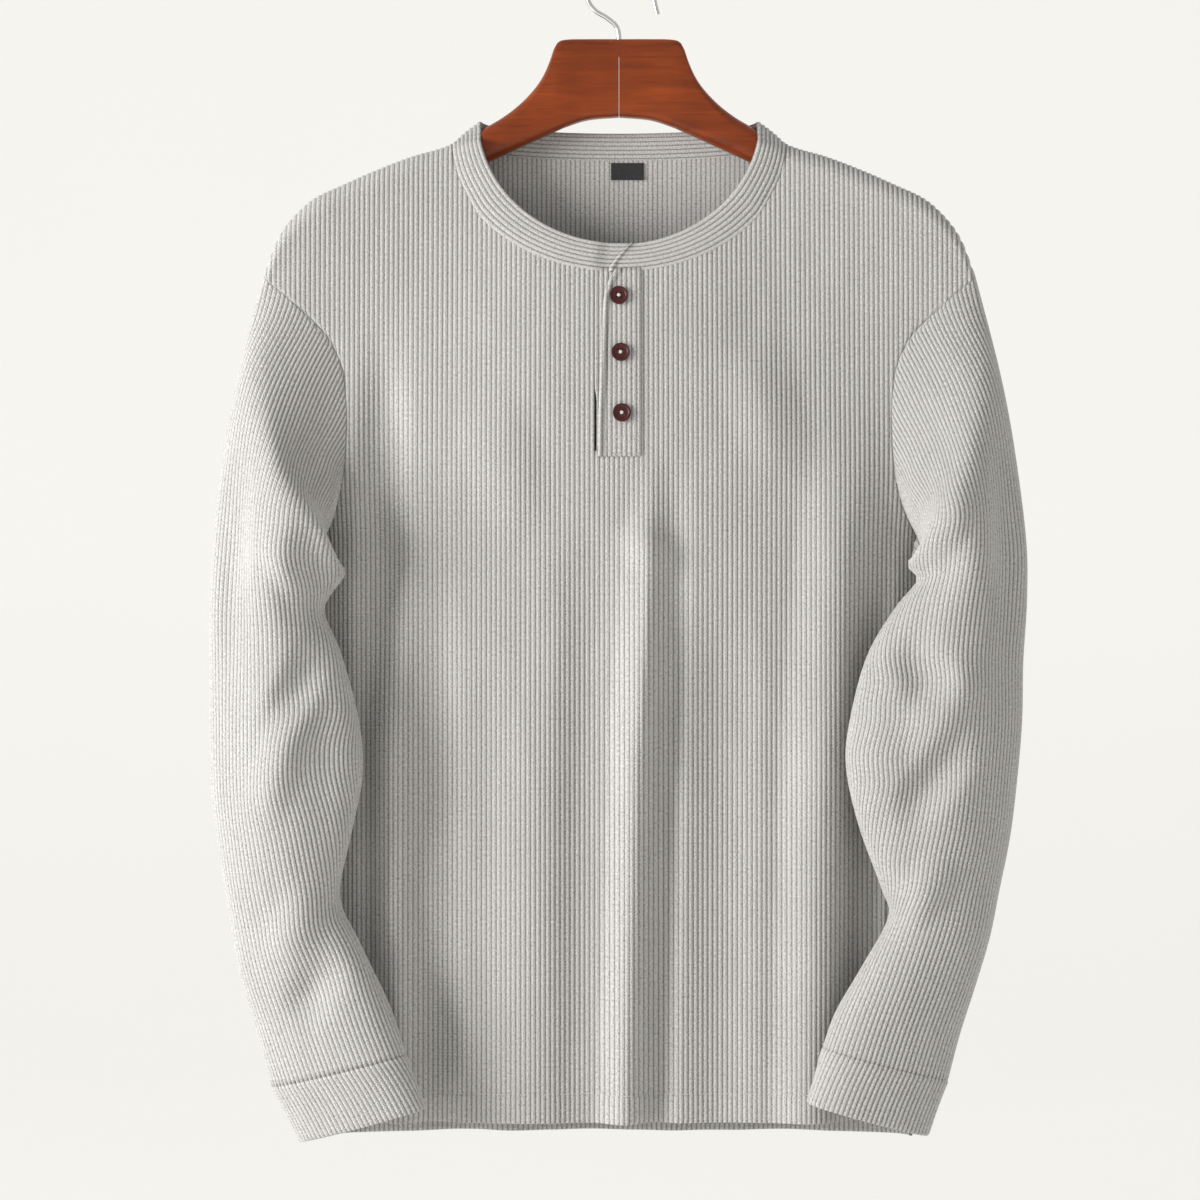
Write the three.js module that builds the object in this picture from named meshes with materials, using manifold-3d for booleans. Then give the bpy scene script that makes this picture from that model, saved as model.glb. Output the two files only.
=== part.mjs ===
// Rib-knit henley shirt, hanging on a wooden hanger by its wire hook.
// Millimetres, +Z up, the front faces -Y. The origin is the inner top of the hook.

import * as THREE from "three";
import Module from "manifold-3d";

const wasm = await Module();
wasm.setup();
const { Manifold, Mesh: ManifoldMesh } = wasm;

// Cloth and seams
const CLOTH = 1.6;
const SEAM_GAP = 0.3;
const HALF_GAP = 0.15;

// Heights of the shirt
const FRONT_HEM_Z = -813;
const BACK_HEM_DROP = 14;
const UNDERARM_Z = -415;
const YOKE_Z = -345;
const TIP_Z = -226;

// Widths and depths of the body
const TIP_X = 247;
const EDGE_ARC = 235;
const YOKE_HALF = 330;
const YOKE_BLEND = 115;
const SECTION_POWER = 2.6;
const FRONT_DEPTH = 44;
const BACK_DEPTH = 36;
const ROLL = 14;
const DEPTH_RUN = 260;
const ARM_FORWARD = 16;
const ARM_REACH = 222;
const FORWARD_HELD = 36;
const FORWARD_FADE = 150;

// Neck
const NECK_HALF = 116;
const NECK_Z = -133;
const FRONT_NECK_DROP = 90;
const BACK_NECK_DROP = 10;
const NECK_FIXED = 30;
const BAND_HALF = 98;
const BAND_TOP_Z = -116;
const BAND_FRONT_DROP = 88;
const BAND_BACK_DROP = 8;
const BAND_LEAN = 2.5;
const BAND_UNDER = 2.3;
const BESIDE_NECK = 105;
const BESIDE_GAP = 2.1;
const BESIDE_FORWARD = 3.4;

// Button opening
const SLIT_LEFT = -17.5;
const SLIT_RIGHT = 11;
const PLACKET_RIGHT = 15.4;
const PLACKET_BOTTOM_Z = -353;
const BUTTON_RADIUS = 6.3;
const BUTTON_THICK = 2.6;
const BUTTON_HOLE_RADIUS = 0.8;
const BUTTON_HOLE_OUT = 1.35;

// Hanger and hook
const WIRE_RADIUS = 1.8;
const HOOK_RADIUS = 24;
const BORE_RADIUS = 2.1;
const BORE_BOTTOM_Z = -74;
const STEM_BOTTOM_Z = -72;
const CROWN_Z = -60;

// Line of the shoulders, from the middle of the hanger out: x and height
const SHOULDER_LINE = [
  [0, -100],
  [50, -100],
  [70, -106],
  [92, -118.5],
  [104, -125],
  [116, -133],
  [126, -137],
  [145, -142.6],
  [170, -152.5],
  [193, -163],
  [213, -173],
  [228, -187],
  [238, -202],
  [247, -226],
];

// Half width of the body by height
const BODY_HALF = [
  [-830, 205],
  [-600, 208],
  [UNDERARM_Z, 212],
];

// Edge of the armhole: height and x
const ARMHOLE = [
  [UNDERARM_Z, 212],
  [-385, 196],
  [-347, 189],
  [-300, 190],
  [-285, 194],
  [-268, 203],
  [-256, 215],
  [-246, 226],
  [-238, 235],
  [-232, 243],
  [TIP_Z, TIP_X],
];

// Soft folds of the front: upper end, lower end, half width, height forwards
const FRONT_FOLDS = [
  { name: "centre ridge, upper", x1: 28, z1: -414, x2: 15, z2: -484, wide: 28, high: 7 },
  { name: "centre ridge, lower", x1: 14, z1: -520, x2: 2, z2: -830, wide: 24, high: 8 },
  { name: "valley beside it", x1: 36, z1: -400, x2: 28, z2: -830, wide: 18, high: -5 },
  { name: "right ridge, upper", x1: 146, z1: -360, x2: 132, z2: -560, wide: 42, high: 8 },
  { name: "right ridge, lower", x1: 128, z1: -620, x2: 121, z2: -830, wide: 40, high: 9 },
  { name: "right valley", x1: 178, z1: -460, x2: 168, z2: -830, wide: 22, high: -7 },
  { name: "left ridge, lower", x1: -164, z1: -530, x2: -153, z2: -830, wide: 20, high: 10 },
  { name: "left valley, lower", x1: -132, z1: -500, x2: -131, z2: -830, wide: 22, high: -5 },
  { name: "left valley, upper", x1: -166, z1: -320, x2: -170, z2: -500, wide: 18, high: -8 },
  { name: "pull below the buttons", x1: 10, z1: -398, x2: 26, z2: -424, wide: 16, high: 3 },
];

// Soft folds of the back: upper end, lower end, half width, height backwards
const BACK_FOLDS = [
  { name: "left ridge", x1: -120, z1: -360, x2: -112, z2: -850, wide: 34, high: 8 },
  { name: "left valley", x1: -70, z1: -420, x2: -74, z2: -850, wide: 24, high: -5 },
  { name: "middle ridge", x1: -14, z1: -300, x2: -20, z2: -850, wide: 30, high: 6 },
  { name: "right valley", x1: 42, z1: -400, x2: 38, z2: -850, wide: 24, high: -5 },
  { name: "right ridge", x1: 104, z1: -330, x2: 118, z2: -850, wide: 36, high: 8 },
];

// Rings of the sleeve at the left of the front view, from the armhole down. Each gives the
// outer and inner end of a flattened ring, as distances out from the middle, and half its depth.
const LEFT_RINGS = [
  { outX: 252, outZ: -245, outY: -20, inX: 213.6, inZ: -418, inY: -10, half: 31 },
  { outX: 258, outZ: -268, outY: -21, inX: 207, inZ: -420, inY: -37, half: 32 },
  { outX: 265, outZ: -300, outY: -23, inX: 197, inZ: -423, inY: -54, half: 31 },
  { outX: 272, outZ: -340, outY: -27, inX: 189, inZ: -428, inY: -61, half: 29 },
  { outX: 277, outZ: -385, outY: -31, inX: 190, inZ: -436, inY: -61, half: 27 },
  { outX: 280, outZ: -425, outY: -35, inX: 199, inZ: -447, inY: -59, half: 26 },
  { outX: 281.5, outZ: -462, outY: -38, inX: 204, inZ: -461, inY: -58, half: 26 },
  { outX: 281.5, outZ: -500, outY: -42, inX: 192, inZ: -489, inY: -62, half: 27 },
  { outX: 281, outZ: -545, outY: -45, inX: 179.5, inZ: -535, inY: -66, half: 28 },
  { outX: 280, outZ: -585, outY: -46, inX: 177, inZ: -573, inY: -68, half: 28 },
  { outX: 275, outZ: -622, outY: -46, inX: 185, inZ: -613, inY: -68, half: 27 },
  { outX: 268, outZ: -662, outY: -46, inX: 193, inZ: -655, inY: -68, half: 26 },
  { outX: 260, outZ: -708, outY: -47, inX: 180, inZ: -685, inY: -71, half: 26 },
  { outX: 249, outZ: -745, outY: -48, inX: 158, inZ: -730, inY: -76, half: 25 },
  { outX: 238, outZ: -786, outY: -50, inX: 147, inZ: -762, inY: -78, half: 22 },
];

const RIGHT_RINGS = [
  { outX: 252, outZ: -245, outY: -20, inX: 213.6, inZ: -418, inY: -10, half: 31 },
  { outX: 258, outZ: -268, outY: -21, inX: 208, inZ: -420, inY: -35, half: 32 },
  { outX: 265, outZ: -298, outY: -23, inX: 201, inZ: -422, inY: -50, half: 31 },
  { outX: 271, outZ: -335, outY: -26, inX: 198, inZ: -426, inY: -57, half: 29 },
  { outX: 276.5, outZ: -378, outY: -30, inX: 201, inZ: -431, inY: -57, half: 27 },
  { outX: 280, outZ: -418, outY: -34, inX: 207, inZ: -438, inY: -56, half: 26 },
  { outX: 280, outZ: -456, outY: -38, inX: 191, inZ: -457, inY: -58, half: 27 },
  { outX: 277.5, outZ: -495, outY: -42, inX: 171, inZ: -490, inY: -62, half: 28 },
  { outX: 276.5, outZ: -535, outY: -45, inX: 159, inZ: -533, inY: -66, half: 29 },
  { outX: 273, outZ: -575, outY: -46, inX: 156, inZ: -566, inY: -68, half: 29 },
  { outX: 268, outZ: -614, outY: -46, inX: 165, inZ: -607, inY: -68, half: 28 },
  { outX: 260, outZ: -652, outY: -46, inX: 181, inZ: -650, inY: -66, half: 26 },
  { outX: 253, outZ: -684, outY: -47, inX: 186, inZ: -670, inY: -66, half: 26 },
  { outX: 243, outZ: -718, outY: -48, inX: 167, inZ: -704, inY: -70, half: 25 },
  { outX: 233, outZ: -750, outY: -49, inX: 149, inZ: -734, inY: -72, half: 24 },
  { outX: 225, outZ: -781, outY: -50, inX: 140, inZ: -758, inY: -74, half: 22 },
];

// Where the front of each sleeve bags over its armhole seam: place, reach, and how far it comes
// towards the middle and forwards
const LEFT_BAG = { x: 190, z: -392, reach: 52, across: 15, forward: 16 };
const RIGHT_BAG = { x: 196, z: -380, reach: 48, across: 6, forward: 10 };

// Open end of each cuff, in the same terms
const LEFT_CUFF_END = { outX: 218.5, outZ: -824, outY: -50, inX: 133, inZ: -799, inY: -77, half: 20 };
const RIGHT_CUFF_END = { outX: 211, outZ: -820, outY: -50, inX: 129, inZ: -796, inY: -73, half: 20 };

// Soft folds of the sleeves, placed as they show from the front
const LEFT_SLEEVE_FOLDS = [
  { name: "groove near the outer edge", x1: -262, z1: -350, x2: -264, z2: -520, wide: 14, high: -5 },
  { name: "ray up from the elbow", x1: -206, z1: -462, x2: -236, z2: -420, wide: 16, high: 5 },
  { name: "ray down from the elbow", x1: -206, z1: -470, x2: -232, z2: -530, wide: 16, high: -5 },
  { name: "forearm hollow", x1: -190, z1: -690, x2: -218, z2: -730, wide: 20, high: -5 },
];

const RIGHT_SLEEVE_FOLDS = [
  { name: "groove near the outer edge", x1: 266, z1: -320, x2: 264, z2: -520, wide: 14, high: -5 },
  { name: "ray up from the elbow", x1: 208, z1: -434, x2: 232, z2: -390, wide: 16, high: 5 },
  { name: "forearm diagonal", x1: 196, z1: -590, x2: 236, z2: -552, wide: 18, high: -5 },
  { name: "hollow above the cuff", x1: 188, z1: -672, x2: 218, z2: -640, wide: 18, high: 5 },
];

// Hanger half by distance out: top edge, bottom edge, half thickness, corner radius
const HANGER_STATIONS = [
  { x: 0.15, top: -60, bottom: -114, half: 9.4, corner: 5 },
  { x: 22, top: -60, bottom: -116, half: 9.4, corner: 5 },
  { x: 38, top: -60.5, bottom: -121, half: 9.4, corner: 5 },
  { x: 43, top: -62.5, bottom: -123.2, half: 9.4, corner: 5 },
  { x: 46, top: -68, bottom: -124.6, half: 9.4, corner: 5.2 },
  { x: 49, top: -77, bottom: -126, half: 9.4, corner: 5.6 },
  { x: 54, top: -87.5, bottom: -128.4, half: 9.4, corner: 6.2 },
  { x: 61, top: -97, bottom: -131.6, half: 9.4, corner: 7 },
  { x: 71, top: -106.8, bottom: -136.4, half: 9.4, corner: 8.4 },
  { x: 82, top: -115, bottom: -141.6, half: 9.4, corner: 9.2 },
  { x: 92, top: -121, bottom: -146.4, half: 9.3, corner: 9.3 },
  { x: 104, top: -129, bottom: -153.6, half: 9.3, corner: 9.3 },
  { x: 116, top: -136.3, bottom: -161.6, half: 10.5, corner: 10.5 },
  { x: 131, top: -141.6, bottom: -168, half: 10.9, corner: 10.9 },
  { x: 153, top: -148.9, bottom: -175.6, half: 10.9, corner: 10.9 },
  { x: 175, top: -157.8, bottom: -184.6, half: 10.9, corner: 10.9 },
  { x: 195, top: -167.6, bottom: -194, half: 10.9, corner: 10.9 },
  { x: 209, top: -175.6, bottom: -201, half: 10.6, corner: 10.6 },
  { x: 216, top: -182.6, bottom: -203, half: 9.2, corner: 9.2 },
  { x: 220, top: -189, bottom: -201, half: 5.6, corner: 5.6 },
];
const CORNER_STEPS = 3;

// Buttons down the placket: x and height
const BUTTONS = [
  { name: "button_1", x: -0.2, z: -241.6 },
  { name: "button_2", x: 1, z: -281.2 },
  { name: "button_3", x: 1.8, z: -323 },
];

// Free edge of the top placket: height and x
const FREE_EDGE = [
  [PLACKET_BOTTOM_Z, -15.4],
  [-327, -14.7],
  [-294, -13.3],
  [-260, -12],
  [-241, -10.4],
  [-230, -7],
  [-222, -2.5],
];

// Columns of the panels as distances round the body from its middle, in its rising order
const SIDE_COLUMNS = [130, 150, 170, 188, 204, 218, 228, EDGE_ARC];
const FRONT_NECK_COLUMNS = [NECK_FIXED, 48, 66, 82, 95, 105, 112, 114, NECK_HALF];
const BACK_NECK_COLUMNS = [14, 40, 64, 82, 95, 105, NECK_HALF];
const SLIT_COLUMNS = [SLIT_LEFT, -4, SLIT_RIGHT];
const LEVEL_ROWS = [-775, -735, -695, -655, -615, -575, -535, -495, -455, UNDERARM_Z, -380, YOKE_Z];
const RISE_ROWS = [0.12, 0.24, 0.36, 0.48, 0.6, 0.71, 0.8, 0.87, 0.925, 0.963, 0.985, 1];

const MATERIALS = {
  knit: new THREE.MeshStandardMaterial({ color: 0xc9c7c2, roughness: 0.95, side: THREE.DoubleSide }),
  button: new THREE.MeshStandardMaterial({ color: 0x4b1919, roughness: 0.35 }),
  label: new THREE.MeshStandardMaterial({ color: 0x17171a, roughness: 0.8 }),
  wood: new THREE.MeshStandardMaterial({ color: 0x8a4314, roughness: 0.3 }),
  metal: new THREE.MeshStandardMaterial({ color: 0xc8c8c8, roughness: 0.25, metalness: 1 }),
};

// Small vector sums
const add = (a, b) => [a[0] + b[0], a[1] + b[1], a[2] + b[2]];
const minus = (a, b) => [a[0] - b[0], a[1] - b[1], a[2] - b[2]];
const times = (a, k) => [a[0] * k, a[1] * k, a[2] * k];
const dot = (a, b) => a[0] * b[0] + a[1] * b[1] + a[2] * b[2];
const mid = (a, b) => times(add(a, b), 0.5);

function cross(a, b) {
  return [
    a[1] * b[2] - a[2] * b[1],
    a[2] * b[0] - a[0] * b[2],
    a[0] * b[1] - a[1] * b[0],
  ];
}

function unit(a) {
  return times(a, 1 / Math.hypot(...a));
}

function easeIn(t) {
  const k = Math.min(1, Math.max(0, t));
  return k * k * (3 - 2 * k);
}

// Smooth curve through a table of [place, value] rows, places rising
function follow(table, place) {
  const last = table.length - 1;
  if (place <= table[0][0]) return table[0][1];
  if (place >= table[last][0]) return table[last][1];
  let k = 0;
  while (table[k + 1][0] < place) k += 1;
  const [p0, v0] = table[k];
  const [p1, v1] = table[k + 1];
  const span = p1 - p0;
  const slope = (v1 - v0) / span;
  const before = k > 0 ? (v1 - table[k - 1][1]) / (p1 - table[k - 1][0]) : slope;
  const after = k < last - 1 ? (table[k + 2][1] - v0) / (table[k + 2][0] - p0) : slope;
  const t = (place - p0) / span;
  const t2 = t * t;
  const t3 = t2 * t;
  return (
    (2 * t3 - 3 * t2 + 1) * v0 +
    (t3 - 2 * t2 + t) * span * before +
    (3 * t2 - 2 * t3) * v1 +
    (t3 - t2) * span * after
  );
}

// Sum of the soft folds at a place seen from the front
function foldsAt(folds, x, z) {
  let sum = 0;
  for (const fold of folds) {
    const alongX = fold.x2 - fold.x1;
    const alongZ = fold.z2 - fold.z1;
    const share = ((x - fold.x1) * alongX + (z - fold.z1) * alongZ) / (alongX ** 2 + alongZ ** 2);
    const t = Math.min(1, Math.max(0, share));
    const away = Math.hypot(x - fold.x1 - alongX * t, z - fold.z1 - alongZ * t) / fold.wide;
    if (away < 1) sum += fold.high * (1 - away ** 2) ** 2;
  }
  return sum;
}

// Body surface. Side is -1 for the front and 1 for the back.
function shoulderZ(x) {
  return follow(SHOULDER_LINE, Math.abs(x));
}

function ridgeY(x) {
  return -ARM_FORWARD * (Math.abs(x) / ARM_REACH) ** 2;
}

function sectionHalf(z) {
  const rise = easeIn((z - UNDERARM_Z) / YOKE_BLEND);
  const plain = follow(BODY_HALF, z);
  return plain + (YOKE_HALF - plain) * rise;
}

function depthBelow(drop, full) {
  const d = Math.max(0, drop);
  const round = Math.min(d, ROLL);
  return Math.sqrt(ROLL ** 2 - (ROLL - round) ** 2) + (full - ROLL) * easeIn(d / DEPTH_RUN);
}

function bodyY(x, z, side) {
  const drop = shoulderZ(x) - z;
  const full = side < 0 ? FRONT_DEPTH : BACK_DEPTH;
  const ratio = Math.min(1, Math.abs(x) / sectionHalf(z));
  const flat = (1 - ratio ** SECTION_POWER) ** (1 / SECTION_POWER);
  const forward = ridgeY(x) * (1 - easeIn((drop - FORWARD_HELD) / FORWARD_FADE));
  const folds = foldsAt(side < 0 ? FRONT_FOLDS : BACK_FOLDS, x, z) * Math.min(1, flat * 2);
  return forward + side * (HALF_GAP + depthBelow(drop, full) * flat + folds);
}

function bodyNormal(x, z, side) {
  const step = 0.05;
  const slopeX = (bodyY(x + step, z, side) - bodyY(x - step, z, side)) / (2 * step);
  const slopeZ = (bodyY(x, z + step, side) - bodyY(x, z - step, side)) / (2 * step);
  return times(unit([-slopeX, 1, -slopeZ]), side);
}

// Lengths round a quarter of the body's section, from the middle of a panel to its side
function quarterRound(halfWide, depth) {
  const steps = 90;
  const xs = [0];
  const arcs = [0];
  let y = depth;
  for (let k = 1; k <= steps; k += 1) {
    const angle = (Math.PI / 2) * (k / steps);
    const nextX = halfWide * Math.sin(angle) ** (2 / SECTION_POWER);
    const nextY = depth * Math.max(0, Math.cos(angle)) ** (2 / SECTION_POWER);
    arcs.push(arcs[k - 1] + Math.hypot(nextX - xs[k - 1], nextY - y));
    xs.push(nextX);
    y = nextY;
  }
  return { xs, arcs };
}

function readLine(from, to, value) {
  let k = 0;
  while (k < from.length - 2 && from[k + 1] < value) k += 1;
  const t = Math.min(1, Math.max(0, (value - from[k]) / (from[k + 1] - from[k])));
  return to[k] + (to[k + 1] - to[k]) * t;
}

// A row of a panel: level below the yoke, rising to the neck and shoulder above it
function makeRow(level, rise, side) {
  const sideZ = level + (TIP_Z - YOKE_Z) * rise;
  const depth = depthBelow(BAND_TOP_Z - sideZ, side < 0 ? FRONT_DEPTH : BACK_DEPTH);
  const halfWide = sectionHalf(sideZ);
  const round = quarterRound(halfWide, depth);
  const edgeX = sideZ <= UNDERARM_Z ? halfWide : follow(ARMHOLE, sideZ);
  const edgeArc = readLine(round.xs, round.arcs, edgeX);
  return { level, rise, sideZ, round, edgeArc };
}

function neckX(column) {
  const c = Math.abs(column);
  if (c <= NECK_FIXED) return column;
  const start = Math.asin(NECK_FIXED / NECK_HALF);
  const angle = start + (Math.PI / 2 - start) * ((c - NECK_FIXED) / (NECK_HALF - NECK_FIXED));
  return Math.sign(column) * NECK_HALF * Math.sin(angle);
}

function columnX(column, row) {
  const c = Math.abs(column);
  if (c <= NECK_HALF) {
    const plain = Math.sign(column) * readLine(row.round.arcs, row.round.xs, c);
    return plain + (neckX(column) - plain) * row.rise ** 2;
  }
  const share = (c - NECK_HALF) / (EDGE_ARC - NECK_HALF);
  const arc = NECK_HALF + share * (row.edgeArc - NECK_HALF);
  return Math.sign(column) * readLine(row.round.arcs, row.round.xs, arc);
}

function topZ(column, topRow, side) {
  if (Math.abs(column) > NECK_HALF) return shoulderZ(columnX(column, topRow));
  const drop = side < 0 ? FRONT_NECK_DROP : BACK_NECK_DROP;
  const ratio = Math.min(1, Math.abs(neckX(column)) / NECK_HALF);
  return NECK_Z - drop * Math.sqrt(1 - ratio ** 2);
}

function bodyPoint(column, row, topRow, side) {
  const x = columnX(column, row);
  const z = row.level + (topZ(column, topRow, side) - YOKE_Z) * row.rise;
  return [x, bodyY(x, z, side), z];
}

// Triangles of a wall between an outer and an inner grid, open edges closed by bands
function wallTriangles(outer, inner, wraps = false, missing = () => false) {
  const columns = outer.length;
  const rows = outer[0].length;
  const cellColumns = wraps ? columns : columns - 1;
  const triangles = [];
  const quad = (a, b, c, d) => triangles.push([a, b, c], [a, c, d]);
  const there = (i, j) => {
    if (j < 0 || j >= rows - 1) return false;
    if (!wraps && (i < 0 || i >= cellColumns)) return false;
    return !missing((i + columns) % columns, j);
  };
  for (let i = 0; i < cellColumns; i += 1) {
    const n = (i + 1) % columns;
    for (let j = 0; j < rows - 1; j += 1) {
      if (!there(i, j)) continue;
      quad(outer[i][j], outer[n][j], outer[n][j + 1], outer[i][j + 1]);
      quad(inner[i][j], inner[i][j + 1], inner[n][j + 1], inner[n][j]);
      if (!there(i, j - 1)) quad(outer[i][j], inner[i][j], inner[n][j], outer[n][j]);
      if (!there(i, j + 1)) quad(outer[n][j + 1], inner[n][j + 1], inner[i][j + 1], outer[i][j + 1]);
      if (!there(i - 1, j)) quad(outer[i][j + 1], inner[i][j + 1], inner[i][j], outer[i][j]);
      if (!there(i + 1, j)) quad(outer[n][j], inner[n][j], inner[n][j + 1], outer[n][j + 1]);
    }
  }
  return triangles;
}

// Outward direction at each grid point; facing is 1 or -1, level edges may drop one part of it
function gridNormals(grid, facing, wraps = false) {
  const columns = grid.length;
  const rows = grid[0].length;
  return grid.map((line, i) =>
    line.map((_, j) => {
      const before = wraps ? (i + columns - 1) % columns : Math.max(0, i - 1);
      const after = wraps ? (i + 1) % columns : Math.min(columns - 1, i + 1);
      const across = minus(grid[after][j], grid[before][j]);
      const up = minus(grid[i][Math.min(rows - 1, j + 1)], grid[i][Math.max(0, j - 1)]);
      return times(unit(cross(across, up)), facing);
    })
  );
}

function shifted(grid, normals, distance) {
  return grid.map((line, i) => line.map((point, j) => add(point, times(normals[i][j], distance))));
}

function meshOf(name, triangles, material) {
  let volume = 0;
  for (const [a, b, c] of triangles) volume += dot(a, cross(b, c));
  const flat = [];
  for (const [a, b, c] of triangles) {
    if (volume > 0) flat.push(...a, ...b, ...c);
    else flat.push(...a, ...c, ...b);
  }
  const geometry = new THREE.BufferGeometry();
  geometry.setAttribute("position", new THREE.Float32BufferAttribute(flat, 3));
  geometry.computeVertexNormals();
  const mesh = new THREE.Mesh(geometry, material);
  mesh.name = name;
  return mesh;
}

// Front and back panels
function mirrored(columns) {
  return columns.map((c) => -c).reverse();
}

function panelGrid(columns, side) {
  const hem = side < 0 ? FRONT_HEM_Z : FRONT_HEM_Z - BACK_HEM_DROP;
  const rows = [
    ...[hem, ...LEVEL_ROWS].map((level) => makeRow(level, 0, side)),
    ...RISE_ROWS.map((rise) => makeRow(YOKE_Z, rise, side)),
  ];
  const topRow = rows[rows.length - 1];
  const outer = columns.map((column) => rows.map((row) => bodyPoint(column, row, topRow, side)));
  const normals = outer.map((line) => line.map(([x, , z]) => bodyNormal(x, z, side)));
  columns.forEach((column, i) => {
    rows.forEach((row, j) => {
      const onSideSeam = Math.abs(column) === EDGE_ARC && row.sideZ <= UNDERARM_Z;
      const onShoulder = Math.abs(column) >= NECK_HALF && row === topRow;
      if (onSideSeam) normals[i][j] = [Math.sign(column), 0, 0];
      else if (onShoulder) normals[i][j] = unit([normals[i][j][0], 0, normals[i][j][2]]);
    });
  });
  return { columns, rows, topRow, outer, normals, inner: shifted(outer, normals, -CLOTH) };
}

const FRONT_COLUMNS = [
  ...mirrored(SIDE_COLUMNS),
  ...mirrored(FRONT_NECK_COLUMNS),
  ...SLIT_COLUMNS,
  ...FRONT_NECK_COLUMNS,
  ...SIDE_COLUMNS,
];
const BACK_COLUMNS = [
  ...mirrored(SIDE_COLUMNS),
  ...mirrored(BACK_NECK_COLUMNS),
  ...BACK_NECK_COLUMNS,
  ...SIDE_COLUMNS,
];

function frontPanel(front) {
  const slitFirst = front.columns.indexOf(SLIT_LEFT);
  const slitLast = front.columns.indexOf(SLIT_RIGHT);
  const slitRow = LEVEL_ROWS.length;
  const missing = (i, j) => i >= slitFirst && i < slitLast && j >= slitRow;
  return meshOf("front", wallTriangles(front.outer, front.inner, false, missing), MATERIALS.knit);
}

// Edge of a panel at its armhole, moved out by the seam gap, from the underarm up
function armholeEdge(panel, hand) {
  const edge = hand < 0 ? 0 : panel.columns.length - 1;
  const next = edge + (hand < 0 ? 1 : -1);
  const first = panel.rows.findIndex((row) => row.level === UNDERARM_Z);
  const edgePoints = [];
  for (let j = first; j < panel.rows.length; j += 1) {
    const away = times(unit(minus(panel.outer[edge][j], panel.outer[next][j])), SEAM_GAP);
    edgePoints.push({ outer: add(panel.outer[edge][j], away), inner: add(panel.inner[edge][j], away) });
  }
  return edgePoints;
}

function armholeRing(front, back, hand) {
  const fore = armholeEdge(front, hand);
  const aft = armholeEdge(back, hand);
  const last = fore.length - 1;
  const join = (k) => ({
    outer: mid(fore[k].outer, aft[k].outer),
    inner: mid(fore[k].inner, aft[k].inner),
  });
  const out = [hand * SEAM_GAP, 0, SEAM_GAP];
  const low = join(0);
  const bottom = { outer: add(low.outer, out), inner: add(low.inner, out) };
  const foreMiddle = fore.slice(1, last).reverse();
  const aftMiddle = aft.slice(1, last);
  const ring = [join(last), ...foreMiddle, bottom, ...aftMiddle];
  const half = foreMiddle.length + 1;
  return { points: ring, angles: ringAngles(ring, half) };
}

// Turn of each ring point, by its distance along the front half and the back half
function ringAngles(ring, half) {
  const runs = [0];
  for (let k = 1; k <= ring.length; k += 1) {
    const step = minus(ring[k % ring.length].outer, ring[k - 1].outer);
    runs.push(runs[k - 1] + Math.hypot(...step));
  }
  return ring.map((_, k) => {
    if (k <= half) return (Math.PI * runs[k]) / runs[half];
    return Math.PI + (Math.PI * (runs[k] - runs[half])) / (runs[ring.length] - runs[half]);
  });
}

function flatRing(size, hand, angles) {
  const outEnd = [hand * size.outX, size.outY, size.outZ];
  const inEnd = [hand * size.inX, size.inY, size.inZ];
  const centre = mid(outEnd, inEnd);
  const axis = minus(outEnd, centre);
  const axisUnit = unit(axis);
  const forward = unit(minus([0, -1, 0], times(axisUnit, -axisUnit[1])));
  const shape = (value) => Math.sign(value) * Math.abs(value) ** (2 / 2.3);
  return angles.map((angle) =>
    add(centre, add(times(axis, shape(Math.cos(angle))), times(forward, size.half * shape(Math.sin(angle)))))
  );
}

// Keeps a sleeve point just clear of the body's front
function clearOfBody(point, gap) {
  const [x, y, z] = point;
  const edge = z <= UNDERARM_Z ? sectionHalf(z) : follow(ARMHOLE, Math.min(z, TIP_Z));
  if (Math.abs(x) > edge + gap || z > TIP_Z) return point;
  return [x, Math.min(y, bodyY(x, z, -1) - gap), z];
}

// Directions of an end ring, laid in the plane of that ring
function flattenEnd(grid, normals, j) {
  let facing = [0, 0, 0];
  grid.forEach((line, i) => {
    facing = add(facing, cross(line[j], grid[(i + 1) % grid.length][j]));
  });
  const plane = unit(facing);
  grid.forEach((_, i) => {
    const normal = normals[i][j];
    normals[i][j] = unit(minus(normal, times(plane, dot(normal, plane))));
  });
}

function bagOver(bag, hand, point) {
  const away = Math.hypot(Math.abs(point[0]) - bag.x, point[2] - bag.z) / bag.reach;
  const share = away < 1 ? (1 - away ** 2) ** 2 : 0;
  return [-hand * bag.across * share, -bag.forward * share, 0];
}

function sleeveGrid(front, back, hand, rings, folds, bag) {
  const start = armholeRing(front, back, hand);
  const lines = start.points.map((point) => [point.outer]);
  for (const size of rings) {
    flatRing(size, hand, start.angles).forEach((point, i) => {
      const facing = Math.max(0, Math.sin(start.angles[i]));
      const push = add([0, -foldsAt(folds, point[0], point[2]), 0], bagOver(bag, hand, point));
      lines[i].push(clearOfBody(add(point, times(push, facing)), 2));
    });
  }
  const normals = gridNormals(lines, hand, true);
  flattenEnd(lines, normals, lines[0].length - 1);
  const inner = shifted(lines, normals, -CLOTH);
  start.points.forEach((point, i) => {
    inner[i][0] = point.inner;
  });
  return { outer: lines, inner, angles: start.angles };
}

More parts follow.
